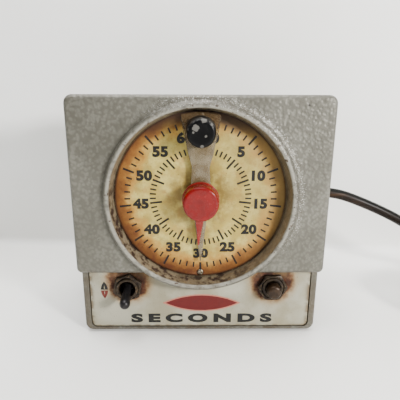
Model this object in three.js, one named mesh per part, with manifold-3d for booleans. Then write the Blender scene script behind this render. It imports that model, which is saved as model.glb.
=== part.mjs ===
// Enlarger timer: a cast case with a round dial, a clear set arm, a red timing hand, a toggle switch,
// a start button, a geared synchronous motor behind the dial and a mains lead.
// Millimetres, +Z up, front faces -Y. Y = 0 is the front face of the control panel inside the frame
// group, and that group is moved so that the origin is at the middle of the case's footprint.
import * as THREE from 'three';
import { mergeVertices } from 'three/addons/utils/BufferGeometryUtils.js';
import Module from 'manifold-3d';

const wasm = await Module();
wasm.setup();

// Driving dimensions
const GAP = 0.3; // clearance between pieces that touch
const WIDTH = 129.8; // across the upper block
const LOWER_WIDTH = 127.6;
const HEIGHT = 130.2;
const BASE_Z = 1.2; // underside of the casting, above the feet
const STEP_Z = 38.6; // underside of the upper block
const FACE_Y = -6.4; // front face of the upper block
const BORDER_Y = -0.6; // raised border round the panel
const CAST_BACK_Y = 43;
const COVER_BACK_Y = 64.2;
const REAR_Y = 66; // outlet faces and screw heads
const FRONT_Y = -16; // face of the set knob
const WALL = 3.2;
const CORNER_R = 4.2;
const EDGE_R = 2.2;
const TOP_DRAFT = 4.3; // degrees by which the casting's top falls away behind its front edge

const DIAL_Z = 78.8;
const DIAL_R = 43.8;
const DIAL_Y = -1;
const DIAL_T = 1;
const RING_R = 48.5;
const RING_Y = -9.5;
const RING_BORE_R = 45.5;
const WELL_R = 44.3;
const WELL_FLOOR_Y = DIAL_Y + DIAL_T + GAP;
const WELL_BACK_Y = WELL_FLOOR_Y + 3;
const WELL_HOLE_R = 12;
const RING_SIDES = 48;
const DIAL_SCREW_R = 41.6; // distance of the dial screws from the dial's centre

const PANEL_HALF_X = 60;
const PANEL_BOTTOM_Z = 3.6;
const PANEL_TOP_Z = STEP_Z - 0.5;
const PANEL_T = 1.1;
const PANEL_WALL_BACK_Y = 4.4;
const CONTROL_X = 39.4;
const CONTROL_Z = 28.1;
const CONTROL_HOLE_R = 6.3;
const BUSH_R = 5.95;
const NUT_AF = 14.29;

const ARM_Y = -4.4; // front face of the clear arm
const ARM_T = 2.1;
const ARM_BOSS_R = 9;
const KNOB_R = 6.85;
const KNOB_BASE_R = 7.3;
const KNOB_AT = 34.55; // distance of the knob from the dial's centre
const HUB_R = 8.9;
const HUB_Y = -14;
const FLANGE_R = 9.4; // round base of the pointer, behind the hub
const POINTER_Y = -6.4;
const POINTER_T = 1.5;
const POINTER_R = 24.4; // distance of the pointer's tip from the dial's centre
const HAND_TILT = 2.8; // the hand rests this many degrees past the middle of the dial

const PLATE_HALF = 31; // movement plates
const PLATE_FRONT_Y = 9;
const PLATE_REAR_Y = 27;
const PLATE_T = 1.5;
const PILLAR_AT = 26;
const ARBOR_R = 2;
const PINION_SHAFT_R = 1.5;
const RUNNING = 0.08; // radial clearance of a shaft in its plate

const WHEEL_TEETH = 48;
const PINION_TEETH = 12;
const MODULE = 0.75;
const GEAR_Y = 13;
const GEAR_T = 2;
const CENTRES = (MODULE * (WHEEL_TEETH + PINION_TEETH)) / 2;
const PINION_X = 0; // straight below the arbor
const PINION_Z = DIAL_Z - CENTRES;

const COVER_INSET = 2.5;
const COVER_TOP_Z = 124.9; // below the drafted top of the casting
const SHEET = 1.2;
const COVER_SCREW_X = 56;
const COVER_SCREW_Z = [9.4, 116.6];
const OUTLET_X = -41;
const OUTLET_Z = [44, 84];
const OUTLET_W = 24;

const CORD_R = 3.25;
const EXIT_Y = 55;
const EXIT_Z = 66;
const COVER_SIDE_X = 61;
const RELIEF_TIP_X = 81.5;
const COIL_CENTRE = [176, 16.7];
const COIL_MEAN_R = 38;
const FLOOR = 0;

// Solids
function closed(geometry) {
  const bare = geometry.clone();
  bare.deleteAttribute('normal');
  bare.deleteAttribute('uv');
  const merged = mergeVertices(bare, 1e-5);
  const position = merged.getAttribute('position');
  const index = merged.getIndex().array;
  const point = (i) => new THREE.Vector3().fromBufferAttribute(position, i);
  const kept = [];
  let volume = 0;
  for (let i = 0; i < index.length; i += 3) {
    const [a, b, c] = index.slice(i, i + 3);
    if (a !== b && b !== c && c !== a) {
      kept.push(a, b, c);
      volume += point(a).dot(point(b).cross(point(c)));
    }
  }
  if (volume < 0) {
    kept.reverse();
  }
  merged.setIndex(kept);
  return merged;
}

function solid(geometry) {
  const merged = closed(geometry);
  return new wasm.Manifold(new wasm.Mesh({
    numProp: 3,
    vertProperties: new Float32Array(merged.getAttribute('position').array),
    triVerts: new Uint32Array(merged.getIndex().array),
  }));
}

function shapeOf(body) {
  const mesh = body.getMesh();
  const geometry = new THREE.BufferGeometry();
  geometry.setAttribute('position', new THREE.BufferAttribute(mesh.vertProperties, 3));
  geometry.setIndex(new THREE.BufferAttribute(mesh.triVerts, 1));
  return geometry;
}

const join = (...bodies) => bodies.reduce((sum, body) => sum.add(body));
const cut = (body, ...tools) => tools.reduce((rest, tool) => rest.subtract(tool), body);

// A flat outline in X and Z, thickened along Y from front to back.
function prism(shape, front, back, curveSegments = 6) {
  const geometry = new THREE.ExtrudeGeometry(shape, { depth: back - front, bevelEnabled: false, curveSegments });
  return geometry.rotateX(Math.PI / 2).translate(0, back, 0);
}

// The same with its front and back edges rounded.
function roundedPrism(shape, front, back, radius, segments = 2) {
  const geometry = new THREE.ExtrudeGeometry(shape, {
    depth: back - front - 2 * radius,
    bevelEnabled: true,
    bevelThickness: radius,
    bevelSize: radius,
    bevelOffset: -radius,
    bevelSegments: segments,
    curveSegments: 4,
  });
  return geometry.rotateX(Math.PI / 2).translate(0, back - radius, 0);
}

function box(x0, x1, y0, y1, z0, z1) {
  const geometry = new THREE.BoxGeometry(x1 - x0, y1 - y0, z1 - z0);
  return geometry.translate((x0 + x1) / 2, (y0 + y1) / 2, (z0 + z1) / 2);
}

// A round bar along Y at (x, z).
function bar(radius, front, back, x = 0, z = 0, sides = 18) {
  const geometry = new THREE.CylinderGeometry(radius, radius, back - front, sides);
  return geometry.translate(x, (front + back) / 2, z);
}

// A turned piece about Y through (x, z); the profile is a closed list of [radius, y].
function turned(profile, x = 0, z = 0, sides = 24) {
  const points = [...profile, profile[0]].map(([r, y]) => new THREE.Vector2(r, y));
  return new THREE.LatheGeometry(points, sides).translate(x, 0, z);
}

function outline(points, x = 0, z = 0) {
  return new THREE.Shape(points.map(([a, b]) => new THREE.Vector2(a + x, b + z)));
}

// A rectangle from (x0, z0) to (x1, z1) with its lower and upper corners rounded.
function rounded(x0, x1, z0, z1, low, high = low) {
  const shape = new THREE.Shape();
  shape.moveTo(x0 + low, z0);
  shape.lineTo(x1 - low, z0);
  shape.absarc(x1 - low, z0 + low, low, -Math.PI / 2, 0, false);
  shape.lineTo(x1, z1 - high);
  shape.absarc(x1 - high, z1 - high, high, 0, Math.PI / 2, false);
  shape.lineTo(x0 + high, z1);
  shape.absarc(x0 + high, z1 - high, high, Math.PI / 2, Math.PI, false);
  shape.lineTo(x0, z0 + low);
  shape.absarc(x0 + low, z0 + low, low, Math.PI, 1.5 * Math.PI, false);
  return shape;
}

function hexagon(acrossFlats, turn = 0) {
  const r = acrossFlats / Math.sqrt(3);
  return Array.from({ length: 6 }, (_, i) => {
    const a = turn + (i * Math.PI) / 3;
    return [r * Math.cos(a), r * Math.sin(a)];
  });
}

// Case
const atCorners = (halfX, heights) => heights.flatMap((z) => [[-halfX, z], [halfX, z]]);
const PILLARS = atCorners(PILLAR_AT, [DIAL_Z - PILLAR_AT, DIAL_Z + PILLAR_AT]);
const COVER_SCREWS = atCorners(COVER_SCREW_X, COVER_SCREW_Z);
const DIAL_SCREWS = [['dial_screw_top', DIAL_SCREW_R], ['dial_screw_bottom', -DIAL_SCREW_R]];
const FEET = [[-50, 9], [50, 9], [-50, 36], [50, 36]];
const FOOT_STEM_R = 2;
const FOOT_HOLE_TOP = BASE_Z + WALL;

function caseBlocks() {
  const half = WIDTH / 2;
  const low = LOWER_WIDTH / 2;
  const deep = CAST_BACK_Y + 4 * EDGE_R; // the far end is cut square later
  const upper = roundedPrism(rounded(-half, half, STEP_Z, HEIGHT, 2.8, CORNER_R), FACE_Y, deep, EDGE_R);
  const lower = roundedPrism(rounded(-low, low, BASE_Z, STEP_Z + 8, CORNER_R), BORDER_Y, deep, 1.2, 2);
  const behind = box(-half - 1, half + 1, CAST_BACK_Y, deep + 1, 0, HEIGHT + 1);
  return cut(join(solid(upper), solid(lower)), solid(behind));
}

function dialRing() {
  const profile = [
    [WELL_HOLE_R, WELL_FLOOR_Y], [WELL_R, WELL_FLOOR_Y], [RING_BORE_R, RING_Y + 1],
    [RING_BORE_R + 0.5, RING_Y + 0.25], [RING_BORE_R + 1.3, RING_Y], [RING_R - 0.9, RING_Y + 0.45],
    [RING_R, RING_Y + 1.6], [RING_R, WELL_BACK_Y], [WELL_HOLE_R, WELL_BACK_Y],
  ];
  return solid(turned(profile, 0, DIAL_Z, RING_SIDES));
}

// The soft run-out of the ring into the face, kept inside the outline of the upper block.
function ringFillet() {
  const profile = [
    [RING_R - 1, FACE_Y + 1], [RING_R - 1, RING_Y + 1.4], [RING_R, RING_Y + 2.2], [RING_R + 0.9, FACE_Y - 0.4],
    [RING_R + 2.6, FACE_Y - 0.05], [RING_R + 2.6, FACE_Y + 1],
  ];
  const half = WIDTH / 2 - 1;
  const inside = prism(rounded(-half, half, STEP_Z + EDGE_R, HEIGHT - EDGE_R, 2, 3), RING_Y, FACE_Y + 3);
  return solid(turned(profile, 0, DIAL_Z, RING_SIDES)).intersect(solid(inside));
}

// What the draft takes off the top.
function aboveDraft() {
  const half = WIDTH / 2 + 1;
  const start = FACE_Y + EDGE_R;
  const slab = box(-half, half, 0, 2 * CAST_BACK_Y, 0, 10);
  return solid(slab.rotateX(-THREE.MathUtils.degToRad(TOP_DRAFT)).translate(0, start, HEIGHT));
}

function frontHousing() {
  const half = WIDTH / 2 - WALL;
  const low = LOWER_WIDTH / 2 - WALL;
  const back = CAST_BACK_Y + 1;
  const upperRoom = prism(rounded(-half, half, STEP_Z + WALL, COVER_TOP_Z - 1.7, 1, 2.5), FACE_Y + WALL, back, 3);
  const lowerRoom = prism(rounded(-low, low, BASE_Z + 3, STEP_Z + 10, 2.5, 1), PANEL_WALL_BACK_Y, back, 3);
  const recess = prism(rounded(-PANEL_HALF_X - 0.4, PANEL_HALF_X + 0.4, PANEL_BOTTOM_Z - 0.4, STEP_Z, 3, 0.2),
    BORDER_Y - 1, PANEL_T + GAP, 4);
  let body = cut(caseBlocks(), solid(upperRoom), solid(lowerRoom), solid(recess));
  body = join(body, ringFillet());
  const well = turned([[0, WELL_FLOOR_Y], [WELL_R, WELL_FLOOR_Y], [RING_BORE_R, RING_Y + 1],
    [RING_BORE_R, RING_Y - 1], [0, RING_Y - 1]], 0, DIAL_Z, RING_SIDES);
  body = join(cut(body, solid(well)), dialRing());
  const bosses = PILLARS.map(([x, z]) => solid(bar(3.6, WELL_BACK_Y - 1, PLATE_FRONT_Y - GAP, x, z, 10)));
  const posts = COVER_SCREWS.flatMap(([x, z]) => {
    const side = Math.sign(x);
    const front = z < STEP_Z ? PANEL_WALL_BACK_Y - 1 : FACE_Y + 1;
    const web = box(Math.min(x, side * (half + 1)), Math.max(x, side * (half + 1)), front, CAST_BACK_Y - 1,
      z - 1.5, z + 1.5);
    return [solid(bar(3.2, front, COVER_BACK_Y - SHEET - GAP, x, z, 10)), solid(web)];
  });
  body = join(body, ...bosses, ...posts);
  const holes = [
    ...PILLARS.map(([x, z]) => bar(1.9, WELL_BACK_Y + 0.6, PLATE_FRONT_Y, x, z, 8)),
    ...COVER_SCREWS.map(([x, z]) => bar(1.9, COVER_BACK_Y - 16, COVER_BACK_Y, x, z, 10)),
    ...[-CONTROL_X, CONTROL_X].map((x) => bar(CONTROL_HOLE_R, 0, PANEL_WALL_BACK_Y + 1, x, CONTROL_Z)),
    ...DIAL_SCREWS.map(([, at]) => bar(1.3, WELL_FLOOR_Y - 1, WELL_BACK_Y + 2, 0, DIAL_Z + at, 12)),
    ...FEET.map(([x, y]) => upright(FOOT_STEM_R + GAP, 0, FOOT_HOLE_TOP + 1, x, y)),
  ];
  return shapeOf(cut(body, aboveDraft(), ...holes.map(solid)));
}

// A round bar along Z at (x, y).
function upright(radius, low, high, x, y, sides = 16) {
  const geometry = new THREE.CylinderGeometry(radius, radius, high - low, sides).rotateX(Math.PI / 2);
  return geometry.translate(x, y, (low + high) / 2);
}

function controlPanel() {
  const plate = prism(rounded(-PANEL_HALF_X, PANEL_HALF_X, PANEL_BOTTOM_Z, PANEL_TOP_Z, 2.8, 0.5), 0, PANEL_T, 4);
  const holes = [-CONTROL_X, CONTROL_X].map((x) => solid(bar(CONTROL_HOLE_R, -1, PANEL_T + 1, x, CONTROL_Z)));
  const ring = solid(bar(RING_R + 2 * GAP, -1, PANEL_T + 1, 0, DIAL_Z, RING_SIDES));
  return shapeOf(cut(solid(plate), ring, ...holes));
}

function dialPlate() {
  const disc = bar(DIAL_R, DIAL_Y, DIAL_Y + DIAL_T, 0, DIAL_Z, RING_SIDES);
  const holes = [
    bar(7.6, DIAL_Y - 1, 1, 0, DIAL_Z, 24),
    ...DIAL_SCREWS.map(([, at]) => bar(1.3, DIAL_Y - 1, 1, 0, DIAL_Z + at, 12)),
  ];
  return shapeOf(cut(solid(disc), ...holes.map(solid)));
}

function dialScrew(at) {
  const head = turned([[0, DIAL_Y - 0.9], [1.1, DIAL_Y - 0.8], [1.7, DIAL_Y - 0.4], [1.7, DIAL_Y - 0.15],
    [1, DIAL_Y - 0.15], [1, WELL_BACK_Y + 1.5], [0, WELL_BACK_Y + 1.5]], 0, DIAL_Z + at, 14);
  return closed(head);
}

// Set arm and its knob
const SCREW_HEAD_R = 3.1; // the knob's screw, sunk into the back of the arm

function armOutline() {
  const blade = [[13, 4.6], [16.1, 4.5], [19.2, 5.1], [22.9, 6.2], [29.4, 7.5], [35, 8.8], [40.6, 9.7], [43, 9.9]];
  const tail = [[34, 0.4], [13, 2.9]];
  const boss = Array.from({ length: 11 }, (_, i) => {
    const a = -1.25 + (2.35 * i) / 10;
    return [ARM_BOSS_R * Math.cos(a), ARM_BOSS_R * Math.sin(a)];
  });
  const right = [...tail.map(([r, w]) => [w, -r]), ...boss, ...blade.map(([r, w]) => [w, r])];
  const left = right.slice().reverse().map(([x, z]) => [-x, z]);
  return outline([...right, ...left], 0, DIAL_Z);
}

function setArm() {
  const plate = solid(prism(armOutline(), ARM_Y, ARM_Y + ARM_T));
  const round = solid(bar(43.2, ARM_Y - 1, ARM_Y + ARM_T + 1, 0, DIAL_Z, RING_SIDES));
  const holes = [
    bar(5 + GAP, ARM_Y - 1, 0, 0, DIAL_Z),
    bar(1.8, ARM_Y - 1, 0, 0, DIAL_Z + KNOB_AT, 12),
    bar(SCREW_HEAD_R + GAP, ARM_Y + 0.9, 0, 0, DIAL_Z + KNOB_AT, 16),
  ];
  return shapeOf(cut(plate.intersect(round), ...holes.map(solid)));
}

function setArmBushing() {
  return closed(turned([[2.5, ARM_Y - 0.1], [5, ARM_Y - 0.1], [5, ARM_Y + ARM_T + GAP], [7.2, ARM_Y + ARM_T + GAP],
    [7.2, 4.8], [9.4, 4.8], [9.4, 6.4], [2.5, 6.4]], 0, DIAL_Z, 20));
}

function frictionWasher() {
  return closed(turned([[7.6, WELL_BACK_Y + GAP], [14.5, WELL_BACK_Y + GAP], [14.5, 4.5], [7.6, 4.5]], 0, DIAL_Z, 24));
}

function setKnob() {
  const back = ARM_Y - GAP;
  return closed(turned([[1.8, back], [KNOB_BASE_R - 0.4, back], [KNOB_BASE_R, back - 0.4], [KNOB_R, FRONT_Y + 1.4],
    [KNOB_R - 0.4, FRONT_Y + 0.4], [KNOB_R - 1.4, FRONT_Y], [0, FRONT_Y], [0, FRONT_Y + 2.2], [1.8, FRONT_Y + 2.2]],
  0, DIAL_Z + KNOB_AT, 22));
}

function knobScrew() {
  const seat = ARM_Y + 0.9 + GAP;
  return closed(turned([[0, FRONT_Y + 2.6], [1.5, FRONT_Y + 2.6], [1.5, seat], [SCREW_HEAD_R, seat],
    [SCREW_HEAD_R, seat + 0.8], [0, seat + 0.8]], 0, DIAL_Z + KNOB_AT, 16));
}

// Timing hand, on its arbor
function handHub() {
  const back = POINTER_Y - GAP;
  return closed(turned([[0, HUB_Y], [HUB_R - 1.2, HUB_Y], [HUB_R - 0.35, HUB_Y + 0.35], [HUB_R, HUB_Y + 1.2],
    [HUB_R, back], [ARBOR_R + GAP, back], [ARBOR_R + GAP, back - 4], [0, back - 4]], 0, DIAL_Z, 24));
}

function handPointer() {
  const shape = new THREE.Shape();
  const halfBase = 2.3;
  const neck = Math.asin(halfBase / FLANGE_R);
  shape.absarc(0, 0, FLANGE_R, -Math.PI / 2 + neck, 1.5 * Math.PI - neck, false);
  shape.lineTo(-0.4, -POINTER_R);
  shape.lineTo(0.4, -POINTER_R);
  const flat = solid(prism(shape, POINTER_Y, POINTER_Y + POINTER_T, 20));
  const hole = solid(bar(ARBOR_R + GAP, POINTER_Y - 1, POINTER_Y + POINTER_T + 1));
  const tilt = THREE.MathUtils.degToRad(HAND_TILT);
  return shapeOf(cut(flat, hole)).rotateY(tilt).translate(0, 0, DIAL_Z);
}

function mainArbor() {
  return closed(bar(ARBOR_R, POINTER_Y - 4, PLATE_REAR_Y + 4, 0, DIAL_Z, 24));
}

// Straight-flanked teeth, thinned for backlash; phase turns the whole gear, in teeth.
function gearOutline(teeth, phase) {
  const pitch = (MODULE * teeth) / 2;
  const root = pitch - 1.15 * MODULE;
  const tip = pitch + 0.8 * MODULE;
  const step = (2 * Math.PI) / teeth;
  const flank = [[root, 0.29], [tip, 0.1]];
  const points = [];
  for (let i = 0; i < teeth; i += 1) {
    const middle = (i + phase) * step;
    for (const [r, half] of flank) {
      points.push([r * Math.cos(middle - half * step), r * Math.sin(middle - half * step)]);
    }
    for (const [r, half] of flank.slice().reverse()) {
      points.push([r * Math.cos(middle + half * step), r * Math.sin(middle + half * step)]);
    }
  }
  return points;
}

const MESH_ANGLE = -Math.PI / 2; // direction from the arbor to the pinion

function mainWheel() {
  const phase = (MESH_ANGLE / (2 * Math.PI)) * WHEEL_TEETH;
  const teeth = solid(prism(outline(gearOutline(WHEEL_TEETH, phase), 0, DIAL_Z), GEAR_Y, GEAR_Y + GEAR_T));
  const hub = solid(bar(5, GEAR_Y - 1.6, GEAR_Y + GEAR_T, 0, DIAL_Z, 20));
  const hole = solid(bar(ARBOR_R + 0.25, GEAR_Y - 3, GEAR_Y + 4, 0, DIAL_Z, 20));
  const windows = [0, 1, 2, 3].map((i) => {
    const a = MESH_ANGLE + ((i + 0.5) * Math.PI) / 2;
    return solid(bar(3.6, GEAR_Y - 1, GEAR_Y + GEAR_T + 1, 10.5 * Math.cos(a), DIAL_Z + 10.5 * Math.sin(a), 12));
  });
  return shapeOf(cut(join(teeth, hub), hole, ...windows));
}

function drivePinion() {
  const phase = ((MESH_ANGLE + Math.PI) / (2 * Math.PI)) * PINION_TEETH + 0.5;
  const shape = outline(gearOutline(PINION_TEETH, phase), PINION_X, PINION_Z);
  const teeth = solid(prism(shape, GEAR_Y - 1, GEAR_Y + GEAR_T + 1));
  const shaft = solid(bar(PINION_SHAFT_R, PLATE_FRONT_Y - 1, PLATE_REAR_Y + 7, PINION_X, PINION_Z, 16));
  return shapeOf(join(teeth, shaft));
}

function tripCam() {
  const shape = new THREE.Shape();
  const lobe = 0.22;
  shape.absarc(0, 0, 8, -Math.PI / 2 + lobe, 1.5 * Math.PI - lobe, false);
  shape.lineTo(-1, -13);
  shape.lineTo(1, -13);
  const disc = solid(prism(shape, 22, 24, 16).translate(0, 0, DIAL_Z));
  return shapeOf(cut(disc, solid(bar(ARBOR_R + 0.25, 20, 26, 0, DIAL_Z, 20))));
}

// Movement frame
function movementPlate(front) {
  const half = PLATE_HALF;
  const plate = solid(prism(rounded(-half, half, DIAL_Z - half, DIAL_Z + half, 4), front, front + PLATE_T, 3));
  const holes = [
    bar(ARBOR_R + RUNNING, front - 1, front + 3, 0, DIAL_Z, 18),
    bar(PINION_SHAFT_R + RUNNING, front - 1, front + 3, PINION_X, PINION_Z, 16),
    ...PILLARS.map(([x, z]) => bar(1.8, front - 1, front + 3, x, z, 8)),
  ];
  return shapeOf(cut(plate, ...holes.map(solid)));
}

// A pillar with a threaded stud at each end, the front one reaching into the case's boss.
function pillar(x, z) {
  const a = PLATE_FRONT_Y + PLATE_T + GAP;
  const b = PLATE_REAR_Y - GAP;
  return closed(turned([[0, WELL_BACK_Y + 1], [1.4, WELL_BACK_Y + 1], [1.4, a], [2.6, a], [2.6, b], [1.4, b],
    [1.4, PLATE_REAR_Y + 4.5], [0, PLATE_REAR_Y + 4.5]], x, z, 8));
}

function pillarNut(x, z) {
  const front = PLATE_REAR_Y + PLATE_T + GAP;
  const nut = solid(prism(outline(hexagon(5.5), x, z), front, front + 2.2));
  return shapeOf(cut(nut, solid(bar(1.8, front - 1, front + 3, x, z, 8))));
}

// A flat spiral strip that pulls the hand back.
function returnSpring() {
  const turns = 3;
  const steps = 14 * turns;
  const inner = 3;
  const pitch = 3.2;
  const strip = 0.5;
  const edge = (offset) => Array.from({ length: steps + 1 }, (_, i) => {
    const a = (i / steps) * turns * 2 * Math.PI;
    const r = inner + (pitch * a) / (2 * Math.PI) + offset;
    return [r * Math.cos(a), r * Math.sin(a)];
  });
  return closed(prism(outline([...edge(strip), ...edge(0).reverse()], 0, DIAL_Z), 17.2, 19.4));
}

function switchBody() {
  const body = box(-29, -17.4, 19, 26.5, DIAL_Z - 8, DIAL_Z + 9);
  return shapeOf(join(solid(body), solid(box(-24, -20, 18, 20, DIAL_Z + 2, DIAL_Z + 6))));
}

function switchLever() {
  const x = -15.6;
  const z = DIAL_Z + 8;
  const strip = solid(box(x - 0.35, x + 0.35, 20, 25.6, DIAL_Z - 6, z));
  return shapeOf(join(strip, solid(bar(1, 20, 25.6, x, z, 12))));
}

// Synchronous motor
const FIELD = { x0: -28, x1: 28, z0: 28, z1: 80, front: 41, back: 49, leg: 6 };
const GEARCASE_R = 15.4;
const ROTOR_R = 10.7;

function motorGearcase() {
  const front = PLATE_REAR_Y + PLATE_T + GAP;
  const can = turned([[1.9, front], [GEARCASE_R - 0.8, front],
    [GEARCASE_R, front + 0.8], [GEARCASE_R, 39.2], [GEARCASE_R - 0.8, 40], [0, 40], [0, 36],
    [1.9, 36]], PINION_X, PINION_Z, 24);
  return shapeOf(cut(solid(can), solid(bar(1.4, 37, 41, PINION_X, PINION_Z, 12))));
}

function motorField() {
  const f = FIELD;
  const block = solid(prism(rounded(f.x0, f.x1, f.z0, f.z1, 1.5), f.front, f.back, 2));
  const window = solid(box(-16, 16, f.front - 1, f.back + 1, f.z0 + f.leg, f.z0 + 14));
  const bore = solid(bar(ROTOR_R + 0.6, f.front - 1, f.back + 1, PINION_X, PINION_Z, 24));
  return shapeOf(cut(block, window, bore));
}

function motorCoil() {
  const f = FIELD;
  const winding = roundedPrism(rounded(-14, 14, f.z0 - 5.5, f.z0 + 12, 2), f.front - 5, f.back + 5, 1, 1);
  const leg = box(-15, 15, f.front - GAP, f.back + GAP, f.z0 - GAP, f.z0 + f.leg + GAP);
  return shapeOf(cut(solid(winding), solid(leg)));
}

function motorRotor() {
  return closed(turned([[0, 38], [1.1, 38], [1.1, 41.4], [ROTOR_R, 41.4], [ROTOR_R, 48.6], [1.1, 48.6], [1.1, 53],
    [0, 53]], PINION_X, PINION_Z, 20));
}

// Toggle switch
const TOGGLE_PIVOT_Y = 1;
const LEVER_TILT = 16;
const LEVER_L = 13.7;

function toggleBody() {
  const back = PANEL_WALL_BACK_Y + GAP;
  return closed(box(-CONTROL_X - 6.5, -CONTROL_X + 6.5, back, 27, CONTROL_Z - 13, CONTROL_Z + 15));
}

function controlBushing(x, front, bore) {
  return closed(turned([[bore, front], [BUSH_R - 0.5, front], [BUSH_R, front + 0.5], [BUSH_R, PANEL_WALL_BACK_Y],
    [bore, PANEL_WALL_BACK_Y]], x, CONTROL_Z, 18));
}

function controlNut(x, turn, front, thickness) {
  const nut = solid(prism(outline(hexagon(NUT_AF, turn), x, CONTROL_Z), front, front + thickness));
  const cone = solid(turned([[0, front], [NUT_AF / 2, front], [NUT_AF / 2 + 1.2, front + 0.7],
    [NUT_AF / 2 + 1.2, front + thickness], [0, front + thickness]], x, CONTROL_Z, 18));
  return shapeOf(cut(nut.intersect(cone), solid(bar(BUSH_R + GAP, front - 1, front + 4, x, CONTROL_Z))));
}

function toggleLever() {
  const ball = 3;
  const tip = LEVER_L;
  const profile = [[0, -ball], [1.8, -2.3], [2.9, -0.8], [2.9, 0.8], [2, 2.3], [2.1, 4.5], [2.3, 7], [2.7, tip - 1.6],
    [2.8, tip], [2.3, tip + 1.7], [1.2, tip + 2.6], [0, tip + 2.8]];
  const lever = new THREE.LatheGeometry(profile.map(([r, y]) => new THREE.Vector2(r, -y)), 16);
  return closed(lever).rotateX(THREE.MathUtils.degToRad(LEVER_TILT)).translate(-CONTROL_X, TOGGLE_PIVOT_Y, CONTROL_Z);
}

// Start button
const CAP_R = 3.95;
const CAP_Y = -8.6;

function startButton() {
  return closed(turned([[0, CAP_Y], [CAP_R - 1.1, CAP_Y], [CAP_R, CAP_Y + 1.1], [CAP_R, CAP_Y + 5], [2.3, CAP_Y + 5],
    [2.3, 14], [0, 14]], CONTROL_X, CONTROL_Z, 18));
}

function buttonBushing() {
  return closed(turned([[CAP_R + 0.25, -2.9], [BUSH_R, -2.9], [BUSH_R, PANEL_WALL_BACK_Y], [2.7, PANEL_WALL_BACK_Y],
    [2.7, 1], [CAP_R + 0.25, 1]], CONTROL_X, CONTROL_Z, 18));
}

function buttonBody() {
  const front = PANEL_WALL_BACK_Y + GAP;
  const block = solid(prism(rounded(CONTROL_X - 8, CONTROL_X + 8, CONTROL_Z - 7, CONTROL_Z + 7, 1.5), front, 27, 2));
  return shapeOf(cut(block, solid(bar(4.8, front - 1, 22, CONTROL_X, CONTROL_Z, 16))));
}

class Helix extends THREE.Curve {
  constructor(radius, pitch, turns) {
    super();
    Object.assign(this, { radius, pitch, turns });
  }

  getPoint(t, target = new THREE.Vector3()) {
    const a = 2 * Math.PI * this.turns * t;
    return target.set(this.radius * Math.cos(a), this.pitch * this.turns * t, this.radius * Math.sin(a));
  }
}

function buttonSpring() {
  const wire = outline(hexagon(0.8));
  const path = new Helix(3.6, 2.6, 3);
  const coil = new THREE.ExtrudeGeometry(wire, { steps: 30, bevelEnabled: false, extrudePath: path });
  return closed(coil).translate(CONTROL_X, 12, CONTROL_Z);
}

// Back cover
function backCover() {
  const x = COVER_SIDE_X;
  const low = BASE_Z + COVER_INSET;
  const high = COVER_TOP_Z;
  const front = CAST_BACK_Y + GAP;
  const shell = roundedPrism(rounded(-x, x, low, high, 4), front - 4, COVER_BACK_Y, 1.8, 2);
  const room = prism(rounded(-x + SHEET, x - SHEET, low + SHEET, high - SHEET, 2.8), front - 5, COVER_BACK_Y - SHEET, 3);
  const ahead = box(-x - 1, x + 1, front - 6, front, 0, HEIGHT);
  const holes = [
    ...COVER_SCREWS.map(([sx, z]) => bar(1.9, COVER_BACK_Y - 3, COVER_BACK_Y + 1, sx, z, 10)),
    ...OUTLET_Z.map((z) => outletBox(z, OUTLET_W / 2 + GAP, COVER_BACK_Y - 3, COVER_BACK_Y + 1)),
    new THREE.CylinderGeometry(5.2, 5.2, 6, 20).rotateZ(Math.PI / 2).translate(x, EXIT_Y, EXIT_Z),
    ...[0, 1, 2, 3, 4, 5].map((i) => prism(rounded(4 + 8 * i, 6.4 + 8 * i, 96, 116, 1.15), COVER_BACK_Y - 3,
      COVER_BACK_Y + 1, 2)),
  ];
  return shapeOf(cut(solid(shell), solid(room), solid(ahead), ...holes.map(solid)));
}

function outletBox(z, half, front, back) {
  return box(OUTLET_X - half, OUTLET_X + half, front, back, z - half, z + half);
}

function outlet(z) {
  const half = OUTLET_W / 2;
  const seat = COVER_BACK_Y + GAP;
  const body = solid(outletBox(z, half, COVER_BACK_Y - 17, seat + 0.5));
  const flange = solid(prism(rounded(OUTLET_X - half - 2.5, OUTLET_X + half + 2.5, z - half - 2.5, z + half + 2.5, 3),
    seat, REAR_Y, 3));
  const slots = [-6.35, 6.35].map((x) => solid(box(OUTLET_X + x - 1, OUTLET_X + x + 1, COVER_BACK_Y - 13, REAR_Y + 1,
    z - 4, z + 4)));
  return shapeOf(cut(join(body, flange), ...slots));
}

function coverScrew(x, z) {
  const seat = COVER_BACK_Y + GAP;
  return closed(turned([[0, COVER_BACK_Y - 14], [1.5, COVER_BACK_Y - 14], [1.5, seat], [3.3, seat], [3.3, seat + 0.6],
    [2.4, REAR_Y - 0.2], [1.2, REAR_Y], [0, REAR_Y]], x, z, 10));
}

function foot(x, y) {
  const profile = [[0, FLOOR], [5.6, FLOOR], [6, FLOOR + 0.3], [5.7, BASE_Z - GAP], [FOOT_STEM_R, BASE_Z - GAP],
    [FOOT_STEM_R, FOOT_HOLE_TOP - 0.6], [0, FOOT_HOLE_TOP - 0.6]];
  const points = profile.map(([r, h]) => new THREE.Vector2(r, h));
  return closed(new THREE.LatheGeometry(points, 12).rotateX(Math.PI / 2)).translate(x, y, 0);
}

// Mains lead: out of the right side of the back cover, down to a coil on the table, and a plug.
function strainRelief() {
  const profile = [[0, 56.8], [6.6, 56.8], [6.6, 59.4], [4.9, 59.4], [4.9, 61.3], [6.4, 61.3], [6.4, 64], [5.4, 65.5],
    [3.9, RELIEF_TIP_X], [0, RELIEF_TIP_X]];
  const points = profile.map(([r, x]) => new THREE.Vector2(r, x));
  return closed(new THREE.LatheGeometry(points, 16).rotateZ(-Math.PI / 2)).translate(0, EXIT_Y, EXIT_Z);
}

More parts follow.
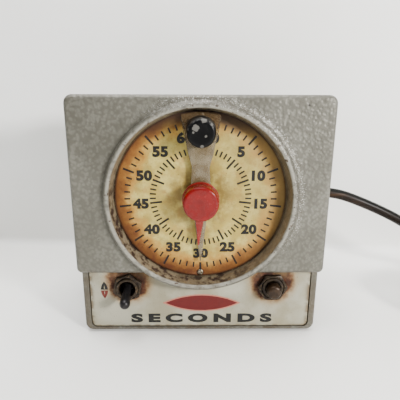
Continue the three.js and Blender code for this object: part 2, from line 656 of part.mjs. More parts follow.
// The lead's centre line from the relief to where it comes down on the coil.
const LEAD = [
  [RELIEF_TIP_X + GAP, 55, 66], [86, 55, 65.6], [91, 55, 64.6], [97, 55, 62.7], [104, 55, 60], [112, 55, 56.7],
  [121, 55, 52.6], [129, 55, 48.6], [137, 55, 44], [144, 54.9, 39.4], [151, 54.9, 34.4], [158, 54.8, 29.4],
  [163, 54.7, 26.2], [168, 54.7, 23.6],
];
// From the coil's lowest turn round to the plug.
const TAIL = [
  [167.6, 67.7, 3.3], [172, 70.8, 3.6], [177, 73.3, 4.4], [182, 75, 5.4], [187.5, 75.7, 6.3], [191, 75.7, 6.5],
];

function cordTube(points, steps) {
  const section = outline(Array.from({ length: 8 }, (_, i) => {
    const a = ((i + 0.5) * Math.PI) / 4;
    return [CORD_R * Math.cos(a), CORD_R * Math.sin(a)];
  }));
  const path = new THREE.CatmullRomCurve3(points.map((p) => new THREE.Vector3(...p)), false, 'centripetal');
  return closed(new THREE.ExtrudeGeometry(section, { steps, bevelEnabled: false, extrudePath: path }));
}

function cordCoil() {
  const d = 2 * CORD_R;
  const [inner, outer] = [COIL_MEAN_R - 1.5 * d, COIL_MEAN_R + 1.5 * d];
  const profile = [[inner, FLOOR], [outer, FLOOR], [outer, 2 * d], [COIL_MEAN_R + CORD_R, 3 * d],
    [COIL_MEAN_R - CORD_R, 3 * d], [inner, 2 * d]];
  const points = [...profile, profile[0]].map(([r, h]) => new THREE.Vector2(r, h));
  const [x, y] = COIL_CENTRE;
  return closed(new THREE.LatheGeometry(points, 28).rotateX(Math.PI / 2)).translate(x, y, 0);
}

const PLUG_X = TAIL.at(-1)[0] + GAP;
const PLUG_Y = TAIL.at(-1)[1];
const PLUG_L = 27;

function plugBody() {
  const shape = new THREE.Shape();
  shape.moveTo(0, -4);
  shape.lineTo(7, -6);
  shape.lineTo(11, -11.5);
  shape.lineTo(PLUG_L, -12);
  shape.lineTo(PLUG_L, 12);
  shape.lineTo(11, 11.5);
  shape.lineTo(7, 6);
  shape.lineTo(0, 4);
  const body = solid(new THREE.ExtrudeGeometry(shape, { depth: 10, bevelEnabled: true, bevelThickness: 1.5,
    bevelSize: 1.5, bevelOffset: -1.5, bevelSegments: 2 }).translate(PLUG_X, PLUG_Y, 1.5));
  const sockets = [-6.35, 6.35].map((y) => solid(box(PLUG_X + PLUG_L - 5, PLUG_X + PLUG_L + 1, PLUG_Y + y - 1.05,
    PLUG_Y + y + 1.05, 3, 10)));
  return shapeOf(cut(body, ...sockets));
}

function plugBlade(y) {
  const shape = outline([[PLUG_X + PLUG_L - 4.6, 3.4], [PLUG_X + PLUG_L + 14.5, 3.4], [PLUG_X + PLUG_L + 16, 4.6],
    [PLUG_X + PLUG_L + 16, 8.4], [PLUG_X + PLUG_L + 14.5, 9.6], [PLUG_X + PLUG_L - 4.6, 9.6]]);
  return closed(prism(shape, PLUG_Y + y - 0.75, PLUG_Y + y + 0.75));
}

// Materials
const finish = (color, roughness, metalness, more = {}) => ({ color, roughness, metalness, ...more });
const FINISHES = {
  casting: finish(0x96948c, 0.45, 0.6),
  panel: finish(0xc3c0b2, 0.5, 0.1),
  dial: finish(0xcdc38c, 0.55, 0.1),
  screw: finish(0x8a8578, 0.4, 0.9),
  clear: finish(0xb8a98a, 0.2, 0, { transparent: true, opacity: 0.45 }),
  black: finish(0x17171a, 0.35, 0),
  red: finish(0xa5322d, 0.25, 0),
  brass: finish(0xb08d4a, 0.35, 1),
  steel: finish(0x9a9a96, 0.35, 1),
  bronze: finish(0x46372d, 0.5, 0.8),
  cover: finish(0x6f6d66, 0.5, 0.4),
  bakelite: finish(0x2a1c14, 0.35, 0),
  copper: finish(0x8a4a2a, 0.4, 0.6),
  rubber: finish(0x1c1a19, 0.8, 0),
  cord: finish(0x33261f, 0.6, 0),
};

const frame = new THREE.Group();
frame.position.y = -(FRONT_Y + REAR_Y) / 2;

function place(name, geometry, finishName) {
  const mesh = new THREE.Mesh(geometry, new THREE.MeshStandardMaterial(FINISHES[finishName]));
  mesh.name = name;
  frame.add(mesh);
}

place('front_housing', frontHousing(), 'casting');
place('control_panel', controlPanel(), 'panel');
place('dial_plate', dialPlate(), 'dial');
for (const [name, at] of DIAL_SCREWS) {
  place(name, dialScrew(at), 'screw');
}
place('set_arm', setArm(), 'clear');
place('set_arm_bushing', setArmBushing(), 'brass');
place('friction_washer', frictionWasher(), 'steel');
place('set_knob', setKnob(), 'black');
place('set_knob_screw', knobScrew(), 'screw');
place('hand_hub', handHub(), 'red');
place('hand_pointer', handPointer(), 'red');
place('main_arbor', mainArbor(), 'steel');
place('main_wheel', mainWheel(), 'brass');
place('trip_cam', tripCam(), 'brass');
place('return_spring', returnSpring(), 'steel');
place('drive_pinion', drivePinion(), 'brass');
place('movement_front_plate', movementPlate(PLATE_FRONT_Y), 'brass');
place('movement_rear_plate', movementPlate(PLATE_REAR_Y), 'brass');
PILLARS.forEach(([x, z], i) => {
  place(`movement_pillar_${i + 1}`, pillar(x, z), 'steel');
  place(`pillar_nut_${i + 1}`, pillarNut(x, z), 'brass');
});
place('trip_switch', switchBody(), 'bakelite');
place('trip_switch_lever', switchLever(), 'steel');
place('motor_gearcase', motorGearcase(), 'steel');
place('motor_field', motorField(), 'steel');
place('motor_coil', motorCoil(), 'copper');
place('motor_rotor', motorRotor(), 'steel');
place('toggle_body', toggleBody(), 'bakelite');
place('toggle_bushing', controlBushing(-CONTROL_X, -3.8, 4.4), 'bronze');
place('toggle_nut', controlNut(-CONTROL_X, 0.2, -2.7, 2.4), 'bronze');
place('toggle_lever', toggleLever(), 'bronze');
place('button_body', buttonBody(), 'bakelite');
place('button_bushing', buttonBushing(), 'bronze');
place('button_nut', controlNut(CONTROL_X, Math.PI / 6, -2.7, 2.4), 'bronze');
place('start_button', startButton(), 'bronze');
place('start_button_spring', buttonSpring(), 'steel');
place('back_cover', backCover(), 'cover');
COVER_SCREWS.forEach(([x, z], i) => place(`cover_screw_${i + 1}`, coverScrew(x, z), 'screw'));
place('outlet_safelight', outlet(OUTLET_Z[0]), 'bakelite');
place('outlet_enlarger', outlet(OUTLET_Z[1]), 'bakelite');
FEET.forEach(([x, y], i) => place(`foot_${i + 1}`, foot(x, y), 'rubber'));
place('strain_relief', strainRelief(), 'rubber');
place('power_cord', cordTube(LEAD, 16), 'cord');
place('cord_coil', cordCoil(), 'cord');
place('cord_tail', cordTube(TAIL, 5), 'cord');
place('plug_body', plugBody(), 'rubber');
place('plug_blade_1', plugBlade(-6.35), 'brass');
place('plug_blade_2', plugBlade(6.35), 'brass');

const part = new THREE.Group();
part.add(frame);
export default part;
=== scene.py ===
"""A darkroom enlarger timer: a cast case with a ringed dial, a clear set arm and a red timing hand,
a toggle switch and a start button on an enamelled panel, a vented back cover with two outlets, and a lead.
Places are in millimetres from the middle of the case, the face of the panel and the table."""
import math

import bpy
from mathutils import Matrix, Vector


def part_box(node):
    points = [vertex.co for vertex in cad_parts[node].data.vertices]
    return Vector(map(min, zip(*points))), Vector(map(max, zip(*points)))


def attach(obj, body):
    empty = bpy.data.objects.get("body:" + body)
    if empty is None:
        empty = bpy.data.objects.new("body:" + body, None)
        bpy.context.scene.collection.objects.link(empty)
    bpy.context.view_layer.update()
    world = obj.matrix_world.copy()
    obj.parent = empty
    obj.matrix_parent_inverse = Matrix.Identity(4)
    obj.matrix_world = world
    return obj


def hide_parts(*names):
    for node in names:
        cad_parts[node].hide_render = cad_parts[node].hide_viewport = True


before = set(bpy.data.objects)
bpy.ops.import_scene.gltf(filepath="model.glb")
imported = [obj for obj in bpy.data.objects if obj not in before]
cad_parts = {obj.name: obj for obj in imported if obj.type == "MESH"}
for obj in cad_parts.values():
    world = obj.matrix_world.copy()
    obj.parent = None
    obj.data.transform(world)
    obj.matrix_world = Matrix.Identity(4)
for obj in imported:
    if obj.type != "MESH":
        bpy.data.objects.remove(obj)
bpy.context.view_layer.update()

MM = 0.001


def span(node):
    """The lowest and highest corners of a CAD node, in millimetres."""
    low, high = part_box(node)
    return Vector(low) / MM, Vector(high) / MM


PANEL_LOW, PANEL_HIGH = span("control_panel")
PANEL_Y = PANEL_LOW.y  # the panel's face, from which depths are measured


def at(x, y, z):
    """A place as a vector in metres."""
    return Vector((x, y + PANEL_Y, z)) * MM


def reading(place):
    """A vector in metres as a place in millimetres."""
    return Vector((place[0] / MM, place[1] / MM - PANEL_Y, place[2] / MM))


def ends(node, axis):
    """Where a CAD node starts and stops along one axis."""
    low, high = span(node)
    back = PANEL_Y if axis == 1 else 0
    return low[axis] - back, high[axis] - back


def middle(node, axis):
    return sum(ends(node, axis)) / 2


GAP = 0.3
DIAL_Z = middle("dial_plate", 2)
DIAL_R = ends("dial_plate", 0)[1]
DIAL_Y = ends("dial_plate", 1)[0]
CASE_X = ends("front_housing", 0)[1]
LOWER_X = CASE_X - 1.1  # the lower block is a little narrower
CASE_TOP = ends("front_housing", 2)[1]
CASE_LOW = ends("front_housing", 2)[0]
RING_Y = ends("front_housing", 1)[0]
RING_R = 48.5
POST_BACK_Y = ends("front_housing", 1)[1]
COVER_X = ends("back_cover", 0)[1]
COVER_LOW, COVER_HIGH = ends("back_cover", 2)
COVER_FRONT_Y, COVER_BACK_Y = ends("back_cover", 1)
CAST_BACK_Y = COVER_FRONT_Y - GAP
REAR_Y = ends("outlet_enlarger", 1)[1]
FACE_Y = RING_Y + 3.1  # front of the upper block
BORDER_Y = -0.6  # raised border round the panel
STEP_Z = PANEL_HIGH.z + 0.5  # underside of the upper block
WALL = 3.2
EDGE_R = 2.2
CORNER_R = 4.2
TOP_DRAFT = math.radians(4.3)  # the top falls away behind its front edge
CONTROL_X = middle("start_button", 0)
CONTROL_Z = middle("start_button", 2)
KNOB_Z = middle("set_knob", 2)
KNOB_FRONT_Y, KNOB_BACK_Y = ends("set_knob", 1)
HUB_FRONT_Y, HUB_BACK_Y = ends("hand_hub", 1)
HUB_R = ends("hand_hub", 0)[1]
ARM_FRONT_Y, ARM_BACK_Y = ends("set_arm", 1)
POINTER_FRONT_Y, POINTER_BACK_Y = ends("hand_pointer", 1)
HAND_TILT = math.radians(2.8)


# --- Camera ---

def add_camera():
    pitch, yaw, roll = math.radians(16.6), math.radians(0.7), math.radians(0.24)
    forward = Vector((math.sin(yaw) * math.cos(pitch), math.cos(yaw) * math.cos(pitch), -math.sin(pitch)))
    right = Vector((math.cos(yaw), -math.sin(yaw), 0))
    above = right.cross(forward)
    across = right * math.cos(roll) + above * math.sin(roll)
    above = above * math.cos(roll) - right * math.sin(roll)
    camera = bpy.data.objects.new("camera", bpy.data.cameras.new("camera"))
    camera.data.lens = 38.97
    camera.data.sensor_width = 36
    turn = Matrix((across, above, -forward)).transposed().to_4x4()
    camera.matrix_world = Matrix.Translation(at(-2.9, -213.3, 140.8)) @ turn
    bpy.context.collection.objects.link(camera)
    bpy.context.scene.camera = camera


add_camera()


# --- Mains lead ---

CORD_D = 6.4
LANE = 6.5  # from one turn of the coil to the next
COIL_X, COIL_Y, COIL_R = 176, 16.7, 38
LEAD = [
    (81.8, 55, 66), (86, 55, 65.6), (91, 55, 64.6), (97, 55, 62.7), (104, 55, 60), (112, 55, 56.7),
    (121, 55, 52.6), (129, 55, 48.6), (137, 55, 44), (144, 54.9, 39.4), (151, 54.9, 34.4),
    (158, 54.8, 29.4),
    (163, 54.7, 26.2), (168, 54.7, 23.6),
]
TAIL = [
    (167.6, 67.7, 3.3), (172, 70.8, 3.6), (177, 73.3, 4.4), (182, 75, 5.4), (187.5, 75.7, 6.3),
    (191, 75.7, 6.5),
]


def coil_turns():
    """The coil, clockwise from above: half a turn on top, then three lanes inwards, then three outwards.
    Each stretch is its angle and where it ends, in lanes from the middle of the coil and layers up."""
    stretches = [
        (250, 0, 2), (90, 1, 1), (150, 1, 1), (120, 0, 1), (240, 0, 1), (120, -1, 1), (220, -1, 1),
        (60, -1, 0),
        (210, -1, 0), (120, 0, 0), (240, 0, 0), (120, 1, 0), (180, 1, 0),
    ]
    landing = 27  # degrees over which the lead settles onto the coil
    step = 10
    turned, lane, layer = 0, 0, 2
    places = []
    for angle, next_lane, next_layer in stretches:
        for i in range(angle // step):
            share = i * step / angle
            ease = (1 - math.cos(math.pi * share)) / 2
            out = lane + (next_lane - lane) * ease
            up = layer + (next_layer - layer) * ease
            if next_lane != lane and next_layer != layer:  # over the shoulder of the turn beside it
                out = lane + (next_lane - lane) * math.sin(ease * math.pi / 2)
                up = next_layer + (layer - next_layer) * math.cos(ease * math.pi / 2)
            r = COIL_R + LANE * out
            a = math.radians(90 - turned)
            lift = 3.6 * max(0, 1 - turned / landing) ** 2
            places.append((COIL_X + r * math.cos(a), COIL_Y + r * math.sin(a), LANE * (up + 0.5) + lift))
            turned += step
        lane, layer = next_lane, next_layer
    return places


def mains_lead():
    route = LEAD + coil_turns() + TAIL
    curve = bpy.data.curves.new("mains_lead", "CURVE")
    curve.dimensions = "3D"
    curve.bevel_depth = 1
    curve.bevel_resolution = 5
    curve.resolution_u = 3
    curve.use_fill_caps = True
    line = curve.splines.new("NURBS")
    line.points.add(len(route) - 1)
    for point, (x, y, z) in zip(line.points, route):
        point.co = (*at(x, y, z), 1)
        point.radius = CORD_D / 2 * MM
    line.order_u = 4
    line.use_endpoint_u = True
    lead = bpy.data.objects.new("mains_lead", curve)
    bpy.context.collection.objects.link(lead)
    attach(lead, "case")
    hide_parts("power_cord", "cord_coil", "cord_tail")
    return lead


lead = mains_lead()


# --- Modelling ---

def alone(piece=None):
    """Object mode with nothing but this piece selected."""
    if bpy.context.mode != "OBJECT":
        bpy.ops.object.mode_set(mode="OBJECT")
    bpy.ops.object.select_all(action="DESELECT")
    if piece:
        piece.select_set(True)
        bpy.context.view_layer.objects.active = piece


def fix_place(piece):
    """Put a piece's place, turn and size into its mesh."""
    alone(piece)
    bpy.ops.object.transform_apply(location=True, rotation=True, scale=True)
    return piece


def settle(name):
    """Name the active piece and put its place into its mesh."""
    piece = bpy.context.object
    piece.name = piece.data.name = name
    return fix_place(piece)


def edit(piece, test=None):
    """Edit mode with everything selected, or only the edges whose ends pass the test."""
    alone(piece)
    bpy.ops.object.mode_set(mode="EDIT")
    bpy.ops.mesh.select_mode(type="EDGE")
    bpy.ops.mesh.select_all(action="DESELECT" if test else "SELECT")
    if test:
        bpy.ops.object.mode_set(mode="OBJECT")
        points = [reading(v.co) for v in piece.data.vertices]
        for part in piece.data.edges:
            part.select = test(*(points[i] for i in part.vertices))
        bpy.ops.object.mode_set(mode="EDIT")


def bevel(piece, width, segments, test):
    edit(piece, test)
    bpy.ops.mesh.bevel(offset=width * MM, segments=segments, affect="EDGES")
    alone(piece)


def soften(piece, width, segments=2, angle=40):
    """Round every edge sharper than an angle."""
    alone(piece)
    rounding = piece.modifiers.new("soften", "BEVEL")
    rounding.width = width * MM
    rounding.segments = segments
    rounding.limit_method = "ANGLE"
    rounding.angle_limit = math.radians(angle)
    rounding.harden_normals = False
    bpy.ops.object.modifier_apply(modifier=rounding.name)
    return piece


def block(name, x0, x1, y0, y1, z0, z1):
    alone()
    bpy.ops.mesh.primitive_cube_add(size=1, location=(at(x0, y0, z0) + at(x1, y1, z1)) / 2,
                                    scale=(at(x1, y1, z1) - at(x0, y0, z0)))
    return settle(name)


def peg(name, radius, front, back, x, z, sides=48):
    """A round bar along the depth of the case."""
    alone()
    bpy.ops.mesh.primitive_cylinder_add(vertices=sides, radius=radius * MM, depth=(back - front) * MM,
                                        location=at(x, (front + back) / 2, z), rotation=(math.pi / 2, 0, 0))
    return settle(name)


def chain(places):
    """A line drawn point by point; edit mode stays on with all of it selected."""
    alone()
    bpy.ops.mesh.primitive_plane_add(size=MM, location=(0, 0, 0))
    bpy.ops.object.mode_set(mode="EDIT")
    bpy.ops.mesh.select_mode(type="VERT")
    bpy.ops.mesh.merge(type="CENTER")
    bpy.ops.transform.translate(value=places[0])
    for here, there in zip(places, places[1:]):
        bpy.ops.mesh.extrude_region_move(TRANSFORM_OT_translate={"value": there - here})
    bpy.ops.mesh.select_all(action="SELECT")


def close_up():
    bpy.ops.mesh.select_all(action="SELECT")
    bpy.ops.mesh.remove_doubles(threshold=1e-6)
    bpy.ops.mesh.normals_make_consistent(inside=False)


def spun(name, profile, x=0, z=0, steps=64, axis=(0, 1, 0), centre=None):
    """A turned piece: a profile of radius and depth, spun about a line through (x, z)."""
    if centre is None:
        centre = at(x, 0, z)
        places = [at(x + r, y, z) for r, y in profile]
    else:
        places = profile
    chain(places)
    bpy.ops.mesh.spin(steps=steps, angle=2 * math.pi, center=centre, axis=axis)
    close_up()
    return settle(name)


def ring_profile(points):
    return points + points[:1]


def arc(x, z, radius, start, stop, count):
    """Points on part of a circle, angles in degrees."""
    angles = [math.radians(start + (stop - start) * i / count) for i in range(count + 1)]
    return [(x + radius * math.cos(a), z + radius * math.sin(a)) for a in angles]


def sheet_piece(name, outline, front, back):
    """A flat outline, filled and thickened from front to back."""
    chain([at(x, front, z) for x, z in outline + outline[:1]])
    bpy.ops.mesh.remove_doubles(threshold=1e-7)
    bpy.ops.mesh.edge_face_add()
    bpy.ops.mesh.extrude_region_move(TRANSFORM_OT_translate={"value": (0, (back - front) * MM, 0)})
    close_up()
    return settle(name)


def rounded(x0, x1, z0, z1, low, high, count=8):
    """A rectangle's outline with its lower and upper corners rounded."""
    return (arc(x1 - low, z0 + low, low, -90, 0, count) + arc(x1 - high, z1 - high, high, 0, 90, count)
            + arc(x0 + high, z1 - high, high, 90, 180, count) + arc(x0 + low, z0 + low, low, 180, 270,
                                                                    count))


def combine(piece, operation, *tools):
    for tool in tools:
        join = piece.modifiers.new("join", "BOOLEAN")
        join.operation = operation
        join.solver = "EXACT"
        join.object = tool
        alone(piece)
        bpy.ops.object.modifier_apply(modifier=join.name)
        bpy.data.objects.remove(tool)
    return piece


def as_one(name, pieces):
    """Several pieces joined into one object."""
    alone(pieces[0])
    for piece in pieces:
        piece.select_set(True)
    bpy.ops.object.join()
    return settle(name)


def copy_at(piece, name, shift=(0, 0, 0), turn=0.0, about=(0, 0, 0)):
    """A copy with its own mesh, turned about a depth line and shifted, in millimetres."""
    twin = piece.copy()
    twin.data = piece.data.copy()
    twin.name = twin.data.name = name
    bpy.context.collection.objects.link(twin)
    pivot = Matrix.Translation(at(*about))
    twin.matrix_world = (Matrix.Translation(Vector(shift) * MM) @ pivot @ Matrix.Rotation(turn, 4, "Y")
                         @ pivot.inverted())
    return fix_place(twin)


def lettering(name, words, height, x, y, z, spread=1.0, wide=1.0, bold=0.0, raised=0.05):
    alone()
    bpy.ops.object.text_add()
    text = bpy.context.object.data
    text.body = words
    text.align_x = "CENTER"
    text.align_y = "CENTER"
    text.size = height / 0.7 * MM
    text.space_character = spread
    text.offset = bold * MM
    text.extrude = raised / 2 * MM
    text.resolution_u = 4
    bpy.ops.object.convert(target="MESH")
    piece = bpy.context.object
    piece.scale = (wide, 1, 1)
    piece.rotation_euler = (math.pi / 2, 0, 0)
    piece.location = at(x, y, z)
    piece = settle(name)
    edit(piece)
    bpy.ops.mesh.remove_doubles(threshold=1e-7)
    alone(piece)
    return piece


def done(piece, paint, body, slot, *nodes, crease=35):
    """Shade a piece, paint it, and hang it on its body in place of its CAD nodes."""
    alone(piece)
    bpy.ops.object.shade_smooth_by_angle(angle=math.radians(crease))
    piece.data.materials.clear()
    piece.data.materials.append(paint)
    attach(piece, body)
    if nodes:
        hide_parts(*nodes)
    return piece


# --- Finishes ---

class Value:
    """A shader socket that can be added, multiplied and compared."""

    def __init__(self, finish, socket):
        self.finish = finish
        self.socket = socket

    def maths(self, operation, *others, clamp=False):
        return self.finish.node("ShaderNodeMath", {0: self, **{i + 1: o for i, o in enumerate(others)}},
                                operation=operation, use_clamp=clamp)

    def __add__(self, other):
        return self.maths("ADD", other)

    def __sub__(self, other):
        return self.maths("SUBTRACT", other)

    def __rsub__(self, other):
        return (self * -1).maths("ADD", other)

    def __mul__(self, other):
        return self.maths("MULTIPLY", other)

    def __truediv__(self, other):
        return self.maths("DIVIDE", other)

    __radd__ = __add__
    __rmul__ = __mul__

    def low(self, other):
        return self.maths("MINIMUM", other)

    def high(self, other):
        return self.maths("MAXIMUM", other)

    def root(self):
        return self.maths("SQRT")

    def size(self):
        return self.maths("ABSOLUTE")

    def rise(self, start, stop):
        """0 below start and 1 above stop, or the other way when start is the larger."""
        return self.finish.node("ShaderNodeMapRange", {"Value": self, "From Min": start, "From Max": stop},
                                interpolation_type="SMOOTHSTEP")


class Finish:
    """One material, built node by node on the piece's own places in millimetres."""

    def __init__(self, name, colour, roughness=0.5, metal=0.0, coat=0.0, coat_roughness=0.1, shine=0.3):
        self.material = bpy.data.materials.new(name)
        self.material.use_nodes = True
        self.tree = self.material.node_tree
        self.shader = self.tree.nodes["Principled BSDF"]
        self.set("Base Color", (*colour, 1))
        self.set("Roughness", roughness)
        self.set("Metallic", metal)
        self.set("Coat Weight", coat)
        self.set("Coat Roughness", coat_roughness)
        self.set("Specular IOR Level", shine)
        own = self.node("ShaderNodeTexCoord", {}, output="Object")
        self.place = self.node("ShaderNodeVectorMath", {0: own, "Scale": 1 / MM}, operation="SCALE")
        self.x, self.depth, self.z = self.parts(self.place)
        self.y = self.depth - PANEL_Y

    def node(self, kind, inputs, output=0, **settings):
        made = self.tree.nodes.new(kind)
        for key, value in settings.items():
            setattr(made, key, value)
        for key, value in inputs.items():
            self.join(made.inputs[key], value)
        return Value(self, made.outputs[output])

    def join(self, socket, value):
        if isinstance(value, Value):
            self.tree.links.new(value.socket, socket)
        else:
            socket.default_value = value

    def set(self, socket, value):
        self.join(self.shader.inputs[socket], value)

    def clear_behind(self):
        """Nothing shows from the back of the surface."""
        behind = self.node("ShaderNodeNewGeometry", {}, output="Backfacing")
        clear = self.node("ShaderNodeBsdfTransparent", {})
        shown = self.node("ShaderNodeMixShader", {0: behind, 1: Value(self, self.shader.outputs[0]),
                                                  2: clear})
        self.join(self.tree.nodes["Material Output"].inputs["Surface"], shown)

    def parts(self, vector):
        split = self.tree.nodes.new("ShaderNodeSeparateXYZ")
        self.join(split.inputs[0], vector)
        return [Value(self, output) for output in split.outputs]

    def noise(self, size, detail=3.0, roughness=0.55, stretch=(1, 1, 1), shift=0.0):
        """Cloudy noise from 0 to 1 whose blotches are about this many millimetres."""
        place = self.place
        if stretch != (1, 1, 1) or shift:
            place = self.node("ShaderNodeMapping", {"Vector": place, "Scale": [1 / s for s in stretch],
                                                    "Location": (shift, shift, shift)})
        return self.node("ShaderNodeTexNoise", {"Vector": place, "Scale": 1 / size, "Detail": detail,
                                                "Roughness": roughness})

    def cells(self, size):
        """Distance to the nearest of scattered points about this many millimetres apart."""
        return self.node("ShaderNodeTexVoronoi", {"Vector": self.place, "Scale": 1 / size, "Smoothness": 1},
                         output="Distance", feature="SMOOTH_F1")

    def mix(self, share, first, second):
        made = self.tree.nodes.new("ShaderNodeMix")
        made.data_type = "RGBA"
        made.clamp_factor = True
        for key, value in zip((0, 6, 7), (share, first, second)):
            self.join(made.inputs[key], (*value, 1) if isinstance(value, tuple) else value)
        return Value(self, made.outputs[2])

    def tint(self, share, colour):
        """Lay a colour over the ones before it."""
        self.colour = self.mix(share, self.colour, colour)

    def near(self, x, z, radius, fade):
        """1 within a distance of (x, z), fading to 0."""
        dx, dz = self.x - x, self.z - z
        return (dx * dx + dz * dz).root().rise(radius + fade, radius)

    def bump(self, height, depth):
        """Relief from a height of 0 to 1 that stands this many millimetres."""
        self.set("Normal", self.node("ShaderNodeBump", {"Height": height, "Distance": depth * MM,
                                                        "Strength": 1.0}))


def srgb(r, g, b):
    return tuple(((c / 255 + 0.055) / 1.055) ** 2.4 for c in (r, g, b))


RUST = srgb(92, 48, 22)
# Grime, also used for painted shade on the ring's slope and below the step.
GRIME_AND_SHADE = srgb(70, 58, 42)


def hammertone():
    f = Finish("hammertone", srgb(130, 128, 119), roughness=0.42, metal=0.3, shine=0.4)
    dx, dz = f.x, f.z - DIAL_Z
    radius = (dx * dx + dz * dz).root()
    beads = f.cells(1.5)
    fine = f.noise(0.8, 3)
    clouds = f.noise(22, 4)
    f.colour = f.mix(clouds.rise(0.35, 0.68), srgb(92, 90, 81), srgb(108, 106, 97))
    f.tint(beads.rise(0.25, 0.6) * 0.5, srgb(70, 67, 58))
    specks = f.noise(0.55, 2).rise(0.64, 0.72) * f.noise(9, 2).rise(0.42, 0.66)
    f.tint(specks * 0.85, GRIME_AND_SHADE)
    slope = radius.rise(46.4, 47.2) * radius.rise(54, 50.5)
    # Painted sparkle on the ring's slope, strongest towards the lit upper right: the glints are painted
    # highlights, the dark specks painted shade.
    right = (dx + dz).rise(0, 40)
    glints = f.noise(0.6, 1, shift=40).rise(0.58, 0.66) * slope * right
    f.tint(glints * 0.7, srgb(180, 180, 174))
    dark = f.noise(0.7, 1, shift=70).rise(0.58, 0.66) * slope * (dx + dz).rise(-5, 45)
    f.tint(dark * 0.85, GRIME_AND_SHADE)
    lip = radius.rise(45, 45.6) * radius.rise(47.6, 46.6) * f.y.rise(RING_Y + 1.6, RING_Y + 0.7)
    f.tint(lip * f.noise(5, 3).rise(0.3, 0.5) * 0.6, srgb(148, 145, 134))
    # Darker mottled band on the ring's outer wall and its run-out into the face: grime and painted shade in
    # the crease.
    edge = radius.rise(47.4, 48.4) * radius.rise(50.4, 49.2)
    f.tint(edge * f.noise(4, 4, shift=8).rise(0.35, 0.6) * 0.6, srgb(66, 62, 52))
    chips = f.noise(2.4, 3, shift=12).rise(0.63, 0.67) * radius.rise(44, 45.4) * radius.rise(48.2, 46.8)
    f.tint(chips, srgb(58, 42, 30))
    well = radius.rise(46, 45.3) * f.y.rise(RING_Y + 0.5, RING_Y + 1.7)
    f.tint(well * 0.7, srgb(128, 112, 84))
    stain = well * (f.noise(4, 4).rise(0.42, 0.6)) * (0.2 + (dx + dz * 1.4).rise(0, -60) * 0.8)
    f.tint(stain, srgb(40, 24, 16))
    edge_dirt = f.z.rise(CASE_LOW + 2.6, CASE_LOW + 0.4) * f.noise(5, 4).rise(0.4, 0.62)
    f.tint(edge_dirt * 0.8, GRIME_AND_SHADE)
    # Painted shade on the casting below the step of the upper block, mottled.
    step = f.z.rise(STEP_Z + 3.2, STEP_Z) * f.noise(7, 3, shift=30).rise(0.4, 0.62)
    f.tint(step * 0.45, GRIME_AND_SHADE)
    border = f.x.size().rise(59.8, 60.6) * f.z.rise(STEP_Z, STEP_Z - 1)
    f.tint(border * f.noise(6, 4, shift=44).rise(0.35, 0.6) * 0.6, srgb(78, 70, 56))
    pits = f.noise(3.4, 2, shift=90).rise(0.76, 0.79)
    f.tint(pits, srgb(40, 36, 30))
    f.set("Base Color", f.colour)
    f.set("Roughness", 0.34 + fine * 0.24 + stain * 0.3)
    f.bump(beads.rise(0.0, 0.7) * 0.6 + fine * 0.25 + f.noise(5, 3) * 0.3, 0.26)
    return f.material


def enamel():
    f = Finish("panel_enamel", srgb(178, 174, 158), roughness=0.4)
    clouds = f.noise(16, 4)
    f.colour = f.mix(clouds.rise(0.35, 0.7), srgb(153, 150, 133), srgb(132, 126, 104))
    halo = 0.0
    for side in (-1, 1):
        ring = f.near(side * CONTROL_X, CONTROL_Z + 2.4, 7.4, 10)
        halo = ring + halo
    wobble = f.noise(3.2, 4)
    under = f.z.rise(STEP_Z - 8, STEP_Z - 1) * f.noise(11, 3, stretch=(1, 1, 3)).rise(0.4, 0.6)
    spread = (halo * (0.4 + wobble * 1.3)).low(1.0)
    f.tint(spread.rise(0.0, 0.95) * 0.8, srgb(140, 108, 62))
    f.tint(spread.rise(0.4, 1.0), srgb(76, 40, 20))
    f.tint(spread.rise(0.8, 1.1) * f.noise(2, 3).rise(0.3, 0.55), srgb(34, 18, 12))
    f.tint(under * 0.6, srgb(120, 98, 66))
    # Painted shadow: a dark line on the panel right under the step.
    f.tint(f.z.rise(STEP_Z - 1.9, STEP_Z - 0.9), srgb(44, 36, 26))
    # Painted shadow of the ring on the panel, in a thin band round its foot.
    ring_shadow = (f.x * f.x + (f.z - DIAL_Z) * (f.z - DIAL_Z)).root().rise(50.6, 49.2)
    f.tint(ring_shadow * 0.8, srgb(58, 44, 30))
    rim = f.x.size().rise(57.4, 60) + f.z.rise(PANEL_LOW.z + 1.5, PANEL_LOW.z) * 0.7
    f.tint((rim * f.noise(4, 4).rise(0.36, 0.58)).low(0.8), srgb(92, 74, 52))
    lower = f.z.rise(10, 3) * f.noise(9, 4, shift=15).rise(0.4, 0.7)
    f.tint(lower * 0.4, srgb(136, 122, 94))
    specks = f.noise(0.7, 2, shift=9).rise(0.67, 0.73)
    f.tint(specks * 0.8, srgb(92, 68, 44))
    f.set("Base Color", f.colour)
    f.set("Roughness", 0.34 + wobble * 0.2 + spread * 0.3)
    f.bump(wobble * spread + f.noise(1.2, 2) * 0.15, 0.12)
    return f.material


